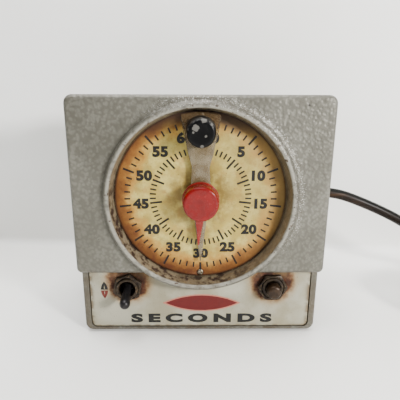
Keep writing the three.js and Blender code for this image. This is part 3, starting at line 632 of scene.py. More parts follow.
def dial_enamel():
    f = Finish("dial_enamel", srgb(196, 180, 108), roughness=0.5)
    dx, dz = f.x, f.z - DIAL_Z
    radius = (dx * dx + dz * dz).root()
    wobble = f.noise(7, 5, 0.6)
    f.colour = f.mix(wobble.rise(0.3, 0.62), srgb(190, 175, 100), srgb(162, 142, 68))
    mottle = f.noise(4.5, 5, 0.65, shift=21).rise(0.48, 0.64) * radius.rise(6, 14)
    f.tint(mottle * 0.55, srgb(138, 122, 64))
    tan_clouds = f.noise(6, 5, 0.65, shift=55).rise(0.5, 0.68)
    f.tint(tan_clouds * 0.5, srgb(150, 108, 52))
    reach = radius + (wobble - 0.5) * 15 + (dz * -0.035) + (dx.size() * 0.02)
    f.tint(reach.rise(31, 38) * 0.8, srgb(172, 124, 48))
    f.tint(reach.rise(35.5, 41) * 0.9, srgb(116, 70, 26))
    f.tint(reach.rise(40, 44) * 0.8, srgb(90, 52, 22))
    # Painted shade: darker towards the right and top, where the ring shades the dial from the key light.
    f.tint((dx + dz * 0.4).rise(0, 44) * 0.55, srgb(118, 102, 52))
    low_left = (dx * -0.5 + dz * -0.86).rise(22, 42) * radius.rise(36.5, 42)
    f.tint(low_left * f.noise(3.4, 4, shift=5).rise(0.42, 0.6), srgb(86, 46, 24))
    # Painted shadow of the ring's top across the upper edge of the dial.
    upper = dz.rise(24, 40) * radius.rise(35, 40.5)
    f.tint(upper * 0.9, srgb(34, 20, 10))
    around = radius.rise(21, 10) * f.noise(4, 4).rise(0.3, 0.6)
    f.tint(around * 0.8, srgb(104, 78, 32))
    rim = radius.rise(42.4, 43.6)
    f.tint(rim * 0.8, srgb(40, 22, 12))
    specks = f.noise(0.6, 2).rise(0.66, 0.73)
    f.tint(specks * 0.7, srgb(78, 44, 18))
    f.set("Base Color", f.colour)
    f.set("Roughness", 0.42 + wobble * 0.25)
    f.bump(wobble * reach.rise(36, 42) + f.noise(1.5, 2) * 0.1, 0.15)
    return f.material


def printed(name, colour, worn, roughness=0.45):
    f = Finish(name, colour, roughness)
    f.set("Base Color", f.mix(f.noise(1.6, 4).rise(0.5, 0.75) * 0.5, colour, worn))
    f.set("Roughness", roughness + f.noise(3, 2) * 0.15)
    return f.material


def clear_plastic():
    f = Finish("clear_plastic", srgb(140, 128, 102), roughness=0.22, coat=0.15)
    clouds = f.noise(5, 4)
    # Towards the knob the arm is painted dark brown and made clearer: painted shade from the ring.
    up = f.z.rise(KNOB_Z - 12, KNOB_Z + 2)
    f.colour = f.mix(clouds.rise(0.35, 0.65), srgb(124, 113, 90), srgb(98, 84, 60))
    f.tint(up * 0.8, srgb(84, 62, 34))
    f.set("Base Color", f.colour)
    f.set("Alpha", 0.62 + clouds * 0.22 - up * 0.3)
    f.set("Roughness", 0.16 + clouds * 0.2)
    f.bump(f.noise(1.2, 3), 0.05)
    return f.material


def chipped_black():
    f = Finish("chipped_black", srgb(10, 10, 12), roughness=0.28, shine=0.12)
    wobble = f.noise(1.5, 4, 0.65)
    dx, dz = f.x, f.z - KNOB_Z
    radius = (dx * dx + dz * dz).root()
    front = f.y.rise(KNOB_FRONT_Y + 2.2, KNOB_FRONT_Y + 1.4)

    def patch(x, z, size):
        return f.near(x, KNOB_Z + z, size * 0.35, size) + (wobble - 0.5) * 1.6

    bare = patch(-2.6, 2.6, 1.9).high(patch(1.2, 6.1, 1.6)).high(patch(-3.6, 0.6, 0.7))
    bare = bare.high(patch(2.1, -1.1, 0.75)).high(patch(0.4, -5.9, 1.0)).high(patch(4.9, 4.3, 0.9))
    # Chipped paint round the rim, kept to its upper half, which also paints the highlight of the top edge.
    chipped_and_lit_rim = radius.rise(5.6, 6.6) * f.noise(1.1, 4, shift=3).rise(0.52, 0.62) * dz.rise(-3, 5) * 0.9
    bare = (bare.rise(0.5, 0.62) * front).high(chipped_and_lit_rim)
    f.colour = f.mix(bare, srgb(4, 4, 5), srgb(84, 82, 78))
    dust = f.noise(0.5, 2, shift=17).rise(0.66, 0.72)
    f.tint(dust * 0.14, srgb(70, 70, 72))
    f.set("Base Color", f.colour)
    f.set("Roughness", 0.24 + bare * 0.3 + wobble * 0.15)
    f.bump(1 - bare, 0.12)
    return f.material


def red_plastic():
    f = Finish("red_plastic", srgb(142, 8, 8), roughness=0.3, coat=0.12, coat_roughness=0.08, shine=0.2)
    clouds = f.noise(4, 4)
    f.colour = f.mix(clouds.rise(0.3, 0.7), srgb(112, 3, 4), srgb(94, 6, 6))
    rim = f.y.rise(POINTER_FRONT_Y - 0.1, POINTER_FRONT_Y + 0.1)
    f.tint(rim * f.noise(6, 2).rise(0.2, 0.5) * 0.35, srgb(164, 68, 56))
    scuffs = f.noise(1.2, 4, shift=31).rise(0.6, 0.72)
    f.tint(scuffs * 0.2, srgb(170, 60, 52))
    f.set("Base Color", f.colour)
    f.set("Roughness", 0.2 + clouds * 0.14 + scuffs * 0.2)
    f.bump(f.noise(0.9, 2), 0.02)
    return f.material


def metal(name, colour, dark, roughness, size=3.0, metallic=1.0, wear=None):
    f = Finish(name, colour, roughness, metallic)
    clouds = f.noise(size, 4)
    mixed = f.mix(clouds.rise(0.36, 0.66), colour, dark)
    if wear:
        mixed = f.mix(f.noise(size * 0.4, 4, shift=13).rise(0.56, 0.68) * 0.8, mixed, wear)
    f.set("Base Color", mixed)
    f.set("Roughness", roughness + (clouds - 0.5) * 0.25)
    f.bump(f.noise(size * 0.25, 3), 0.04)
    return f.material


def moulded(name, colour, worn, roughness, relief=0.03, size=6.0):
    f = Finish(name, colour, roughness)
    clouds = f.noise(size, 4)
    f.set("Base Color", f.mix(clouds.rise(0.4, 0.72) * 0.8, colour, worn))
    f.set("Roughness", roughness + (clouds - 0.5) * 0.2)
    f.bump(f.noise(0.8, 3), relief)
    return f.material


def lead_rubber():
    """Old rubber: brown and streaked on its sides, with painted shade darkening its upper side, blacker
    farther from the case.
    """
    f = Finish("lead_rubber", srgb(40, 30, 23), roughness=0.5, shine=0.12)
    # Painted shade: the colour follows which way the surface faces, darker on the upper side.
    facing = f.node("ShaderNodeNewGeometry", {}, output="Normal")
    up = f.parts(facing)[2]
    streaks = f.noise(3, 4, stretch=(9, 1, 1))
    brown = f.mix(streaks.rise(0.35, 0.65), srgb(54, 38, 26), srgb(26, 18, 12))
    far = f.x.rise(84, 118)
    f.colour = f.mix(far * 0.8, brown, srgb(9, 8, 7))
    f.tint((up + (streaks - 0.5) * 0.6).rise(0.3, 0.7), srgb(10, 11, 9))
    f.set("Base Color", f.colour)
    f.set("Roughness", 0.5 - far * 0.18 + (streaks - 0.5) * 0.2)
    f.bump(streaks * 0.7 + f.noise(1, 3) * 0.3, 0.08)
    return f.material


def backdrop_paper():
    f = Finish("backdrop_paper", srgb(238, 237, 233), roughness=0.7)
    clouds = f.noise(160, 3)
    f.colour = f.mix(clouds.rise(0.3, 0.7), srgb(240, 240, 237), srgb(233, 232, 227))
    marks = f.noise(6, 5, 0.7).rise(0.7, 0.8)
    f.set("Base Color", f.mix(marks * 0.2, f.colour, srgb(190, 188, 180)))
    f.set("Roughness", 0.55 + clouds * 0.2)
    f.clear_behind()
    return f.material


HAMMERTONE = hammertone()
ENAMEL = enamel()
DIAL = dial_enamel()
INK = printed("black_print", srgb(8, 7, 6), srgb(56, 44, 26))
PANEL_INK = printed("panel_print", srgb(10, 10, 9), srgb(40, 39, 34))
BADGE_RED = printed("badge_red", srgb(84, 5, 4), srgb(70, 8, 6))
BADGE_WHITE = printed("badge_border", srgb(164, 104, 88), srgb(140, 60, 48))
ARROW_RED = printed("arrow_red", srgb(86, 24, 18), srgb(120, 66, 54))
CLEAR = clear_plastic()
KNOB_BLACK = chipped_black()
RED = red_plastic()
BRONZE = metal("old_bronze", srgb(54, 45, 34), srgb(24, 17, 12), 0.42, 2.4, 0.6, srgb(84, 66, 46))
DARK_STEEL = metal("dark_steel", srgb(28, 26, 27), srgb(13, 12, 12), 0.4, 2.0, 0.4, srgb(50, 45, 44))
CAP_BROWN = metal("brown_cap", srgb(48, 34, 21), srgb(34, 23, 14), 0.36, 3.0, 0.45)
SCREW = metal("plated_screw", srgb(150, 145, 132), srgb(96, 84, 64), 0.35, 1.5, 1.0, RUST)
BRASS = metal("machined_brass", srgb(196, 164, 96), srgb(160, 126, 68), 0.3, 5.0)
STEEL = metal("plain_steel", srgb(172, 172, 168), srgb(126, 124, 118), 0.32, 4.0)
COVER = metal("grey_cover", srgb(108, 106, 98), srgb(98, 95, 87), 0.5, 9.0, 0.25, srgb(88, 84, 75))
BAKELITE = moulded("dark_moulding", srgb(44, 30, 22), srgb(62, 46, 34), 0.3)
TAPE = moulded("varnished_tape", srgb(142, 80, 42), srgb(104, 56, 28), 0.42, 0.12, 2.5)
RUBBER = moulded("black_rubber", srgb(32, 30, 28), srgb(56, 52, 47), 0.7, 0.06)
LEAD_RUBBER = lead_rubber()
PAPER = backdrop_paper()

lead.data.materials.append(LEAD_RUBBER)


# --- Case ---

WELL_FLOOR_Y = DIAL_Y + 1 + GAP
WELL_BACK_Y = WELL_FLOOR_Y + 3
PANEL_WALL_BACK_Y = ends("toggle_body", 1)[0] - GAP
CONTROL_HOLE_R = 6.3
COVER_SCREW_X = middle("cover_screw_2", 0)
COVER_SCREW_Z = [middle("cover_screw_1", 2), middle("cover_screw_3", 2)]
PILLAR_AT = middle("movement_pillar_2", 0)
FOOT_X, FOOT_Y = middle("foot_2", 0), [middle("foot_1", 1), middle("foot_3", 1)]
DIAL_SCREW_AT = middle("dial_screw_top", 2) - DIAL_Z
CORNERS = [(side, height) for height in (0, 1) for side in (-1, 1)]


def case_blocks():
    """The upper and lower blocks of the casting, their edges rounded."""
    upper = block("upper_block", -CASE_X, CASE_X, FACE_Y, CAST_BACK_Y, STEP_Z, CASE_TOP)
    bevel(upper, CORNER_R, 8, lambda a, b: abs(a.y - b.y) > 1 and a.z > DIAL_Z)
    bevel(upper, 2.8, 5, lambda a, b: abs(a.y - b.y) > 1 and a.z < DIAL_Z)
    bevel(upper, EDGE_R, 6, lambda a, b: max(a.y, b.y) < FACE_Y + 0.01)
    lower = block("lower_block", -LOWER_X, LOWER_X, BORDER_Y, CAST_BACK_Y, CASE_LOW, STEP_Z + 8)
    bevel(lower, CORNER_R, 8, lambda a, b: abs(a.y - b.y) > 1 and a.z < STEP_Z)
    bevel(lower, 1.2, 4, lambda a, b: max(a.y, b.y) < BORDER_Y + 0.01)
    return combine(upper, "UNION", lower)


def dial_ring():
    """The raised ring, its lip worn round, with the floor of the well behind the dial."""
    lip = [(45.5, 1.1), (45.6, 0.55), (45.9, 0.18), (46.4, 0), (47.2, 0.08), (47.85, 0.36), (48.3, 0.9),
           (48.5, 1.7)]
    profile = [(12, WELL_FLOOR_Y), (44.3, WELL_FLOOR_Y)] + [(r, RING_Y + y) for r, y in lip]
    profile += [(RING_R, WELL_BACK_Y), (12, WELL_BACK_Y)]
    return spun("ring", ring_profile(profile), 0, DIAL_Z, 128)


def ring_fillet():
    """The soft run-out of the ring into the face."""
    run_out = [(48.5, -1.2), (48.8, -0.85), (49.3, -0.5), (49.95, -0.24), (50.6, -0.08), (51.3, 0)]
    profile = [(47.4, 1), (47.4, -1.7)] + run_out + [(51.3, 1)]
    fillet = spun("fillet", ring_profile([(r, FACE_Y + y) for r, y in profile]), 0, DIAL_Z, 128)
    inside = CASE_X - 1
    return combine(fillet, "INTERSECT", block("inside", -inside, inside, RING_Y, FACE_Y + 3,
                                              STEP_Z + EDGE_R,
                                            CASE_TOP - EDGE_R))


def above_draft():
    """What the draft takes off the top."""
    start = FACE_Y + EDGE_R
    slab = block("slab", -CASE_X - 1, CASE_X + 1, start, start + 90, CASE_TOP, CASE_TOP + 10)
    hinge = Matrix.Translation(at(0, start, CASE_TOP))
    slab.matrix_world = hinge @ Matrix.Rotation(-TOP_DRAFT, 4, "X") @ hinge.inverted()
    return fix_place(slab)


def front_housing():
    body = case_blocks()
    half = CASE_X - WALL
    back = CAST_BACK_Y + 2
    upper_room = block("room", -half, half, FACE_Y + WALL, back, STEP_Z + WALL, COVER_HIGH - 1.7)
    lower_room = block("room", WALL - LOWER_X, LOWER_X - WALL, PANEL_WALL_BACK_Y, back, CASE_LOW + 3,
                       STEP_Z + 10)
    edge = PANEL_HIGH.x + 0.4
    recess = sheet_piece("recess", rounded(-edge, edge, PANEL_LOW.z - 0.4, STEP_Z, 3, 0.2), BORDER_Y - 1,
                         1.1 + GAP)
    combine(body, "DIFFERENCE", upper_room, lower_room, recess)
    combine(body, "UNION", ring_fillet())
    well = spun("well", [(0, WELL_FLOOR_Y), (44.3, WELL_FLOOR_Y), (45.5, RING_Y + 1.1), (45.5, RING_Y - 1),
                         (0, RING_Y - 1)], 0, DIAL_Z, 128)
    combine(body, "DIFFERENCE", well)
    combine(body, "UNION", dial_ring())
    for side, height in CORNERS:
        z = COVER_SCREW_Z[height]
        front = FACE_Y + 1 if height else PANEL_WALL_BACK_Y - 1
        near, far = sorted((side * COVER_SCREW_X, side * (half + 1)))
        web = block("web", near, far, front, CAST_BACK_Y - 1, z - 1.5, z + 1.5)
        post = peg("post", 3.2, front, POST_BACK_Y, side * COVER_SCREW_X, z, 24)
        boss = peg("boss", 3.6, WELL_BACK_Y - 1, WELL_BACK_Y + 5.4, side * PILLAR_AT,
                   DIAL_Z + (2 * height - 1) * PILLAR_AT, 24)
        combine(body, "UNION", web, post, boss)
    holes = [peg("hole", CONTROL_HOLE_R, 0, PANEL_WALL_BACK_Y + 1, side * CONTROL_X,
                 CONTROL_Z) for side in (-1, 1)]
    for side, height in CORNERS:
        holes.append(peg("hole", 1.9, COVER_BACK_Y - 16, COVER_BACK_Y, side * COVER_SCREW_X,
                         COVER_SCREW_Z[height], 20))
        holes.append(peg("hole", 1.9, WELL_BACK_Y + 0.6, 10, side * PILLAR_AT,
                         DIAL_Z + (2 * height - 1) * PILLAR_AT, 20))
        alone()
        bpy.ops.mesh.primitive_cylinder_add(vertices=24, radius=2.3 * MM, depth=9 * MM,
                                            location=at(side * FOOT_X, FOOT_Y[height], CASE_LOW))
        holes.append(settle("hole"))
        if side > 0:
            up = (2 * height - 1) * DIAL_SCREW_AT
            holes.append(peg("hole", 1.3, WELL_FLOOR_Y - 1, WELL_BACK_Y + 2, 0, DIAL_Z + up, 20))
    combine(body, "DIFFERENCE", above_draft(), as_one("holes", holes))
    body.name = body.data.name = "cast_front"
    return done(body, HAMMERTONE, "case", "hammertone", "front_housing", crease=28)


def control_panel():
    plate = sheet_piece("enamel_panel", rounded(PANEL_LOW.x, PANEL_HIGH.x, PANEL_LOW.z, PANEL_HIGH.z, 2.8,
                                                0.5), 0, 1.1)
    combine(plate, "DIFFERENCE", peg("ring", RING_R + 2 * GAP, -1, 3, 0, DIAL_Z, 160),
            *[peg("hole", CONTROL_HOLE_R, -1, 3, side * CONTROL_X, CONTROL_Z) for side in (-1, 1)])
    soften(plate, 0.2, 2)
    return done(plate, ENAMEL, "case", "panel_enamel", "control_panel")


def pointed_oval(x, z, half_length, half_height, count=14):
    """Two shallow arcs that meet in points, left to right."""
    radius = (half_length ** 2 + half_height ** 2) / (2 * half_height)
    lean = math.degrees(math.asin(half_length / radius))
    over = arc(x, z - radius + half_height, radius, 90 - lean, 90 + lean, count)
    under = arc(x, z + radius - half_height, radius, 270 - lean, 270 + lean, count)
    return over + under[1:-1]


def turned_upright(outline, x, z):
    """An outline turned a quarter about (x, z)."""
    return [(x - (b - z), z + (a - x)) for a, b in outline]


def panel_print():
    """The red badge with its pale border, the word under it and the arrows beside the switch."""
    badge_z, badge_x = 17.9, 0.8
    border = sheet_piece("badge_border", pointed_oval(badge_x, badge_z, 21.6, 5.3), -0.06, -0.01)
    done(border, BADGE_WHITE, "case", "panel_enamel")
    badge = sheet_piece("badge", pointed_oval(badge_x, badge_z, 19.9, 4.55), -0.11, -0.065)
    done(badge, BADGE_RED, "case", "red_plastic")
    word = lettering("seconds_word", "SECONDS", 4.8, 0.8, -0.035, 8.15, spread=1.5, wide=1.9, bold=0.42)
    done(word, PANEL_INK, "case", "black_knob")
    x, z = -52.3, 25.8
    oval = turned_upright(pointed_oval(x, z, 5.1, 1.95), x, z)
    for name, paint, slot, sign in (("arrow_up", PANEL_INK, "black_knob", 1),
                                    ("arrow_down", ARROW_RED, "red_plastic", -1)):
        half = sheet_piece(name, oval, -0.06, -0.01)
        low, high = (z + 0.25, z + 9) if sign > 0 else (z - 9, z - 0.25)
        combine(half, "INTERSECT", block("half", x - 4, x + 4, -1, 1, low, high))
        slit = sheet_piece("slit", [(x - 0.3, z + sign * 0.9), (x + 0.3, z + sign * 0.9),
                                    (x, z + sign * 3)], -1, 1)
        combine(half, "DIFFERENCE", slit)
        done(half, paint, "case", slot)


# --- Dial ---

SECOND = math.radians(5.56)  # turn of the hand in a second
THIRTY = math.pi  # thirty seconds is straight down


def dial_plate():
    plate = peg("dial", DIAL_R, DIAL_Y, DIAL_Y + 1, 0, DIAL_Z, 160)
    holes = [peg("hole", 7.6, DIAL_Y - 1, 3, 0, DIAL_Z)]
    holes += [peg("hole", 1.3, DIAL_Y - 1, 3, 0, DIAL_Z + sign * DIAL_SCREW_AT, 24) for sign in (-1, 1)]
    combine(plate, "DIFFERENCE", *holes)
    soften(plate, 0.15, 2)
    return done(plate, DIAL, "case", "dial_face", "dial_plate")


def tick(inner, outer, width):
    mark = block("tick", -width / 2, width / 2, DIAL_Y - 0.05, DIAL_Y - 0.005, DIAL_Z + inner,
                 DIAL_Z + outer)
    bevel(mark, 0.12, 2, lambda a, b: abs(a.y - b.y) > 0.01)
    return mark


def dial_scale():
    """Two rings of ticks, long at every fifth second."""
    patterns = {
        True: [tick(35.9, 41.7, 1.05), tick(19.8, 26, 1.05)],
        False: [tick(35.9, 38.9, 0.85), tick(22.8, 26, 0.85)],
    }
    marks = []
    for second in range(61):
        turn = THIRTY + (second - 30) * SECOND
        for pattern in patterns[second % 5 == 0]:
            marks.append(copy_at(pattern, "tick", turn=turn, about=(0, 0, DIAL_Z)))
    for pattern in patterns[True] + patterns[False]:
        bpy.data.objects.remove(pattern)
    return done(as_one("dial_ticks", marks), INK, "case", "black_knob")


def dial_numbers():
    numbers = []
    for second in range(0, 61, 5):
        turn = THIRTY + (second - 30) * SECOND
        across, up = 30.6, 31
        x, z = across * math.sin(turn), up * math.cos(turn)
        x -= 0.9 if second == 60 else 0
        numbers.append(lettering("number", str(second), 4.75, x, DIAL_Y - 0.03, DIAL_Z + z, spread=1.08,
                                 wide=1.1, bold=0.43))
    return done(as_one("dial_numbers", numbers), INK, "case", "black_knob")


def dial_screws():
    screw = spun("dial_screw", [(0, DIAL_Y - 0.9), (0.6, DIAL_Y - 0.88), (1.15, DIAL_Y - 0.78),
                                (1.5, DIAL_Y - 0.6),
                                (1.7, DIAL_Y - 0.35), (1.7, DIAL_Y - 0.15), (1, DIAL_Y - 0.15),
                                (1, WELL_BACK_Y + 1.5), (0, WELL_BACK_Y + 1.5)], 0, DIAL_Z, 32)
    slots = [block("slot", -0.22, 0.22, DIAL_Y - 2, DIAL_Y - 0.55, DIAL_Z - 1.1, DIAL_Z + 1.1),
             block("slot", -1.1, 1.1, DIAL_Y - 2, DIAL_Y - 0.55, DIAL_Z - 0.22, DIAL_Z + 0.22)]
    combine(screw, "DIFFERENCE", *slots)
    for name, sign in (("top", 1), ("bottom", -1)):
        twin = copy_at(screw, f"dial_screw_head_{name}", shift=(0, 0, sign * DIAL_SCREW_AT))
        done(twin, SCREW, "case", "bright_screw", f"dial_screw_{name}")
    bpy.data.objects.remove(screw)


# --- Set arm and timing hand ---

def flowing(points, count=4):
    """More points on a smooth line through these."""
    path = []
    padded = [points[0]] + points + [points[-1]]
    for p0, p1, p2, p3 in zip(padded, padded[1:], padded[2:], padded[3:]):
        for i in range(count):
            t = i / count
            path.append(tuple(
                0.5 * (2 * b + (c - a) * t + (2 * a - 5 * b + 4 * c - d) * t * t
                       + (3 * b - a - 3 * c + d) * t ** 3)
                for a, b, c, d in zip(p0, p1, p2, p3)))
    return path + [points[-1]]


def set_arm():
    """The clear arm: a blade that widens under the knob and a pointed tail."""
    blade = flowing([(4.7, 11.5), (4.5, 16.1), (5.1, 19.2), (6.2, 22.9), (7.5, 29.4), (8.8, 35),
                     (9.6, 40.2)])
    tail = [(0.25, -34), (2.9, -13)]
    boss = arc(0, 0, 9, -70, 57, 12)
    tip = [(x, z) for x, z in arc(0, 0, 43.2, 90 - 12.6, 90, 6)]
    right = tail + boss + blade + tip
    left = [(-x, z) for x, z in reversed(right[:-1])]
    outline = [(x, DIAL_Z + z) for x, z in right + left]
    arm = sheet_piece("clear_arm", outline, ARM_FRONT_Y, ARM_BACK_Y)
    combine(arm, "DIFFERENCE", peg("hole", 5.3, ARM_FRONT_Y - 1, ARM_BACK_Y + 1, 0, DIAL_Z),
            peg("hole", 1.8, ARM_FRONT_Y - 1, ARM_BACK_Y + 1, 0, KNOB_Z, 24),
            peg("hole", 3.4, ARM_FRONT_Y + 0.9, ARM_BACK_Y + 1, 0, KNOB_Z, 32))
    soften(arm, 0.3, 3, 50)
    return done(arm, CLEAR, "set_arm", "clear_plastic", "set_arm")


def set_knob():
    f, b = KNOB_FRONT_Y, KNOB_BACK_Y
    knob = spun("set_knob_cap", [
        (0, f + 0.12), (2.5, f + 0.1), (4.4, f + 0.03), (5.3, f), (5.85, f + 0.09), (6.35, f + 0.36),
        (6.7, f + 0.82),
        (6.85, f + 1.5), (6.95, f + 4), (7.15, b - 1.4), (7.3, b - 0.8), (7.28, b - 0.3), (7.1, b),
        (1.8, b),
        (1.8, f + 2.2), (0, f + 2.2)], 0, KNOB_Z, 96)
    return done(knob, KNOB_BLACK, "set_arm", "black_knob", "set_knob")


def hand_hub():
    f, b = HUB_FRONT_Y, HUB_BACK_Y
    hub = spun("red_hub", [
        (0, f + 0.1), (4, f + 0.08), (6.6, f + 0.02), (7.4, f), (7.95, f + 0.1), (8.4, f + 0.36),
        (8.72, f + 0.8),
        (8.86, f + 1.3), (HUB_R, f + 2), (HUB_R, b - 0.3), (HUB_R - 0.3, b), (2.3, b), (2.3, b - 4),
        (0, b - 4)],
        0, DIAL_Z, 96)
    return done(hub, RED, "timing_hand", "red_plastic", "hand_hub")


def hand_pointer():
    """A round flange behind the hub and a long point, resting a little past the middle of the dial."""
    lean = math.degrees(math.asin(2.3 / 9.4))
    outline = arc(0, 0, 9.4, -90 + lean, 270 - lean, 60) + [(-1.35, -15.5), (-0.3, -24.2), (0.3, -24.2),
                                                            (1.35, -15.5)]
    turned = []
    for x, z in outline:
        turned.append((x * math.cos(HAND_TILT) + z * math.sin(HAND_TILT),
                       DIAL_Z + z * math.cos(HAND_TILT) - x * math.sin(HAND_TILT)))
    pointer = sheet_piece("red_pointer", turned, POINTER_FRONT_Y, POINTER_BACK_Y)
    combine(pointer, "DIFFERENCE", peg("hole", 2.3, POINTER_FRONT_Y - 1, POINTER_BACK_Y + 1, 0, DIAL_Z, 32))
    soften(pointer, 0.25, 3, 50)
    return done(pointer, RED, "timing_hand", "red_plastic", "hand_pointer")


# --- Controls ---

NUT_ACROSS = 14.29


def control_nut(name, node, x, turn):
    """A hexagon nut, its front corners turned off, with the thread's bore."""
    front, back = ends(node, 1)
    alone()
    bpy.ops.mesh.primitive_cylinder_add(vertices=6, radius=NUT_ACROSS / math.sqrt(3) * MM,
                                        depth=(back - front) * MM,
                                        location=at(x, (front + back) / 2, CONTROL_Z),
                                        rotation=(math.pi / 2, turn, 0))
    nut = settle(name)
    soften(nut, 0.3, 2)
    r = NUT_ACROSS / 2
    cone = spun("cone", [(0, front), (r - 0.5, front), (r, front + 0.1), (r + 1.3, front + 0.85),
                         (r + 1.3, back), (0, back)],
                x, CONTROL_Z, 64)
    combine(nut, "INTERSECT", cone)
    combine(nut, "DIFFERENCE", peg("bore", 6.25, front - 1, back + 1, x, CONTROL_Z))
    return done(nut, BRONZE, "case", "dark_bronze", node, crease=25)


def bushing(name, node, x, bore, profile_back, paint):
    front = ends(node, 1)[0]
    points = [(bore, front + 0.25), (bore + 0.2, front), (5.3, front), (5.7, front + 0.18),
              (5.95, front + 0.6)]
    y = front + 0.9
    while y < 0.6:  # thread
        points += [(5.95, y), (5.75, y + 0.15), (5.95, y + 0.3)]
        y += 0.6
    points += [(5.95, PANEL_WALL_BACK_Y)] + profile_back
    return done(spun(name, ring_profile(points), x, CONTROL_Z, 64), paint, "case", "dark_bronze", node,
                crease=30)


def toggle_lever():
    """A bat-shaped lever on a ball, thrown downwards."""
    pivot_y, tilt, tip = 1, math.radians(16), 13.7
    profile = [(0, -3), (1.2, -2.75), (2.2, -2), (2.85, -0.9), (3, 0), (2.85, 0.9), (2.3, 1.9), (2.05, 3),
               (2.05, 4.6),
               (2.15, 6.6), (2.35, 8.8), (2.6, 11), (2.76, tip - 1), (2.8, tip), (2.68, tip + 0.8),
               (2.35, tip + 1.6),
               (1.75, tip + 2.3), (0.9, tip + 2.7), (0, tip + 2.8)]
    lever = spun("bat_lever", [(r, pivot_y - y) for r, y in profile], -CONTROL_X, CONTROL_Z, 48)
    pivot = Matrix.Translation(at(-CONTROL_X, pivot_y, CONTROL_Z))
    lever.matrix_world = pivot @ Matrix.Rotation(tilt, 4, "X") @ pivot.inverted()
    fix_place(lever)
    return done(lever, DARK_STEEL, "toggle", "dark_bronze", "toggle_lever")


def start_button():
    front, back = ends("start_button", 1)
    r = ends("start_button", 0)[1] - CONTROL_X
    cap = spun("start_cap", [(0, front), (r - 1.5, front), (r - 1.1, front + 0.12), (r - 0.45, front + 0.5),
                             (r - 0.12, front + 0.95), (r, front + 1.5), (r, front + 5), (2.3, front + 5),
                             (2.3, back),
                             (0, back)], CONTROL_X, CONTROL_Z, 64)
    return done(cap, CAP_BROWN, "button", "dark_bronze", "start_button")


# --- Back ---

SHEET = 1.2
OUTLETS = ["outlet_safelight", "outlet_enlarger"]
EXIT_Y, EXIT_Z = middle("strain_relief", 1), middle("strain_relief", 2)


def along_width(name, radius, x0, x1, sides=48):
    alone()
    bpy.ops.mesh.primitive_cylinder_add(vertices=sides, radius=radius * MM, depth=(x1 - x0) * MM,
                                        location=at((x0 + x1) / 2, EXIT_Y, EXIT_Z),
                                        rotation=(0, math.pi / 2, 0))
    return settle(name)


def back_cover():
    """A drawn steel cover with vents over the motor and openings for the outlets and the lead."""
    x, low, high = COVER_X, COVER_LOW, COVER_HIGH
    shell = block("vented_cover", -x, x, COVER_FRONT_Y, COVER_BACK_Y, low, high)
    bevel(shell, 4, 7, lambda a, b: abs(a.y - b.y) > 1)
    bevel(shell, 1.8, 5, lambda a, b: min(a.y, b.y) > COVER_BACK_Y - 0.01)
    room = block("room", -x + SHEET, x - SHEET, COVER_FRONT_Y - 4, COVER_BACK_Y - SHEET, low + SHEET,
                 high - SHEET)
    bevel(room, 2.8, 6, lambda a, b: abs(a.y - b.y) > 1)
    combine(shell, "DIFFERENCE", room)
    holes = [peg("hole", 1.9, COVER_BACK_Y - 3, COVER_BACK_Y + 1, side * COVER_SCREW_X,
                 COVER_SCREW_Z[height], 24)
             for side, height in CORNERS]
    for node in OUTLETS:
        ox, oz = middle(node, 0), middle(node, 2)
        holes.append(block("hole", ox - 12.3, ox + 12.3, COVER_BACK_Y - 3, COVER_BACK_Y + 1, oz - 12.3,
                           oz + 12.3))
    for i in range(6):
        vent = rounded(4 + 8 * i, 6.4 + 8 * i, 96, 116, 1.15, 1.15, 5)
        holes.append(sheet_piece("vent", vent, COVER_BACK_Y - 3, COVER_BACK_Y + 1))
    holes.append(along_width("hole", 5.2, x - 3, x + 3))
    combine(shell, "DIFFERENCE", as_one("holes", holes))
    return done(shell, COVER, "case", "grey_steel", "back_cover", crease=28)


def outlet(name, node):
    """A moulded two-slot outlet with a rounded flange and a raised face."""
    x, z = middle(node, 0), middle(node, 2)
    seat = COVER_BACK_Y + GAP
    body = block(name, x - 12, x + 12, ends(node, 1)[0], seat + 0.5, z - 12, z + 12)
    flange = sheet_piece("flange", rounded(x - 14.5, x + 14.5, z - 14.5, z + 14.5, 3, 3), seat,
                         REAR_Y - 0.3)
    soften(flange, 0.4, 3, 50)
    face = peg("face", 11, seat, REAR_Y, x, z, 64)
    soften(face, 0.2, 2, 50)
    combine(body, "UNION", flange, face)
    slots = [block("slot", x + side * 6.35 - 1, x + side * 6.35 + 1, COVER_BACK_Y - 13, REAR_Y + 1, z - 4,
                   z + 4)
             for side in (-1, 1)]
    combine(body, "DIFFERENCE", as_one("slots", slots))
    return done(body, BAKELITE, "case", "bakelite", node)


def cover_screws():
    seat = COVER_BACK_Y + GAP
    x, z = COVER_SCREW_X, COVER_SCREW_Z[0]
    screw = spun("screw", [(0, COVER_BACK_Y - 14), (1.1, COVER_BACK_Y - 14), (1.5, COVER_BACK_Y - 13.4),
                           (1.5, seat),
                           (3.3, seat), (3.3, seat + 0.55), (3, seat + 0.95), (2.3, REAR_Y - 0.2),
                           (1.2, REAR_Y - 0.03),
                           (0, REAR_Y)], x, z, 40)
    combine(screw, "DIFFERENCE", block("slot", x - 4, x + 4, REAR_Y - 0.75, REAR_Y + 1, z - 0.4, z + 0.4))
    for i, (side, height) in enumerate(CORNERS):
        twin = copy_at(screw, f"cover_screw_head_{i + 1}", turn=0.7 * i, about=(x, 0, z))
        twin = shifted(twin, (side - 1) * x, 0, COVER_SCREW_Z[height] - z)
        done(twin, SCREW, "case", "bright_screw", f"cover_screw_{i + 1}")
    bpy.data.objects.remove(screw)


def shifted(piece, x, y, z):
    piece.location = Vector((x, y, z)) * MM
    return fix_place(piece)


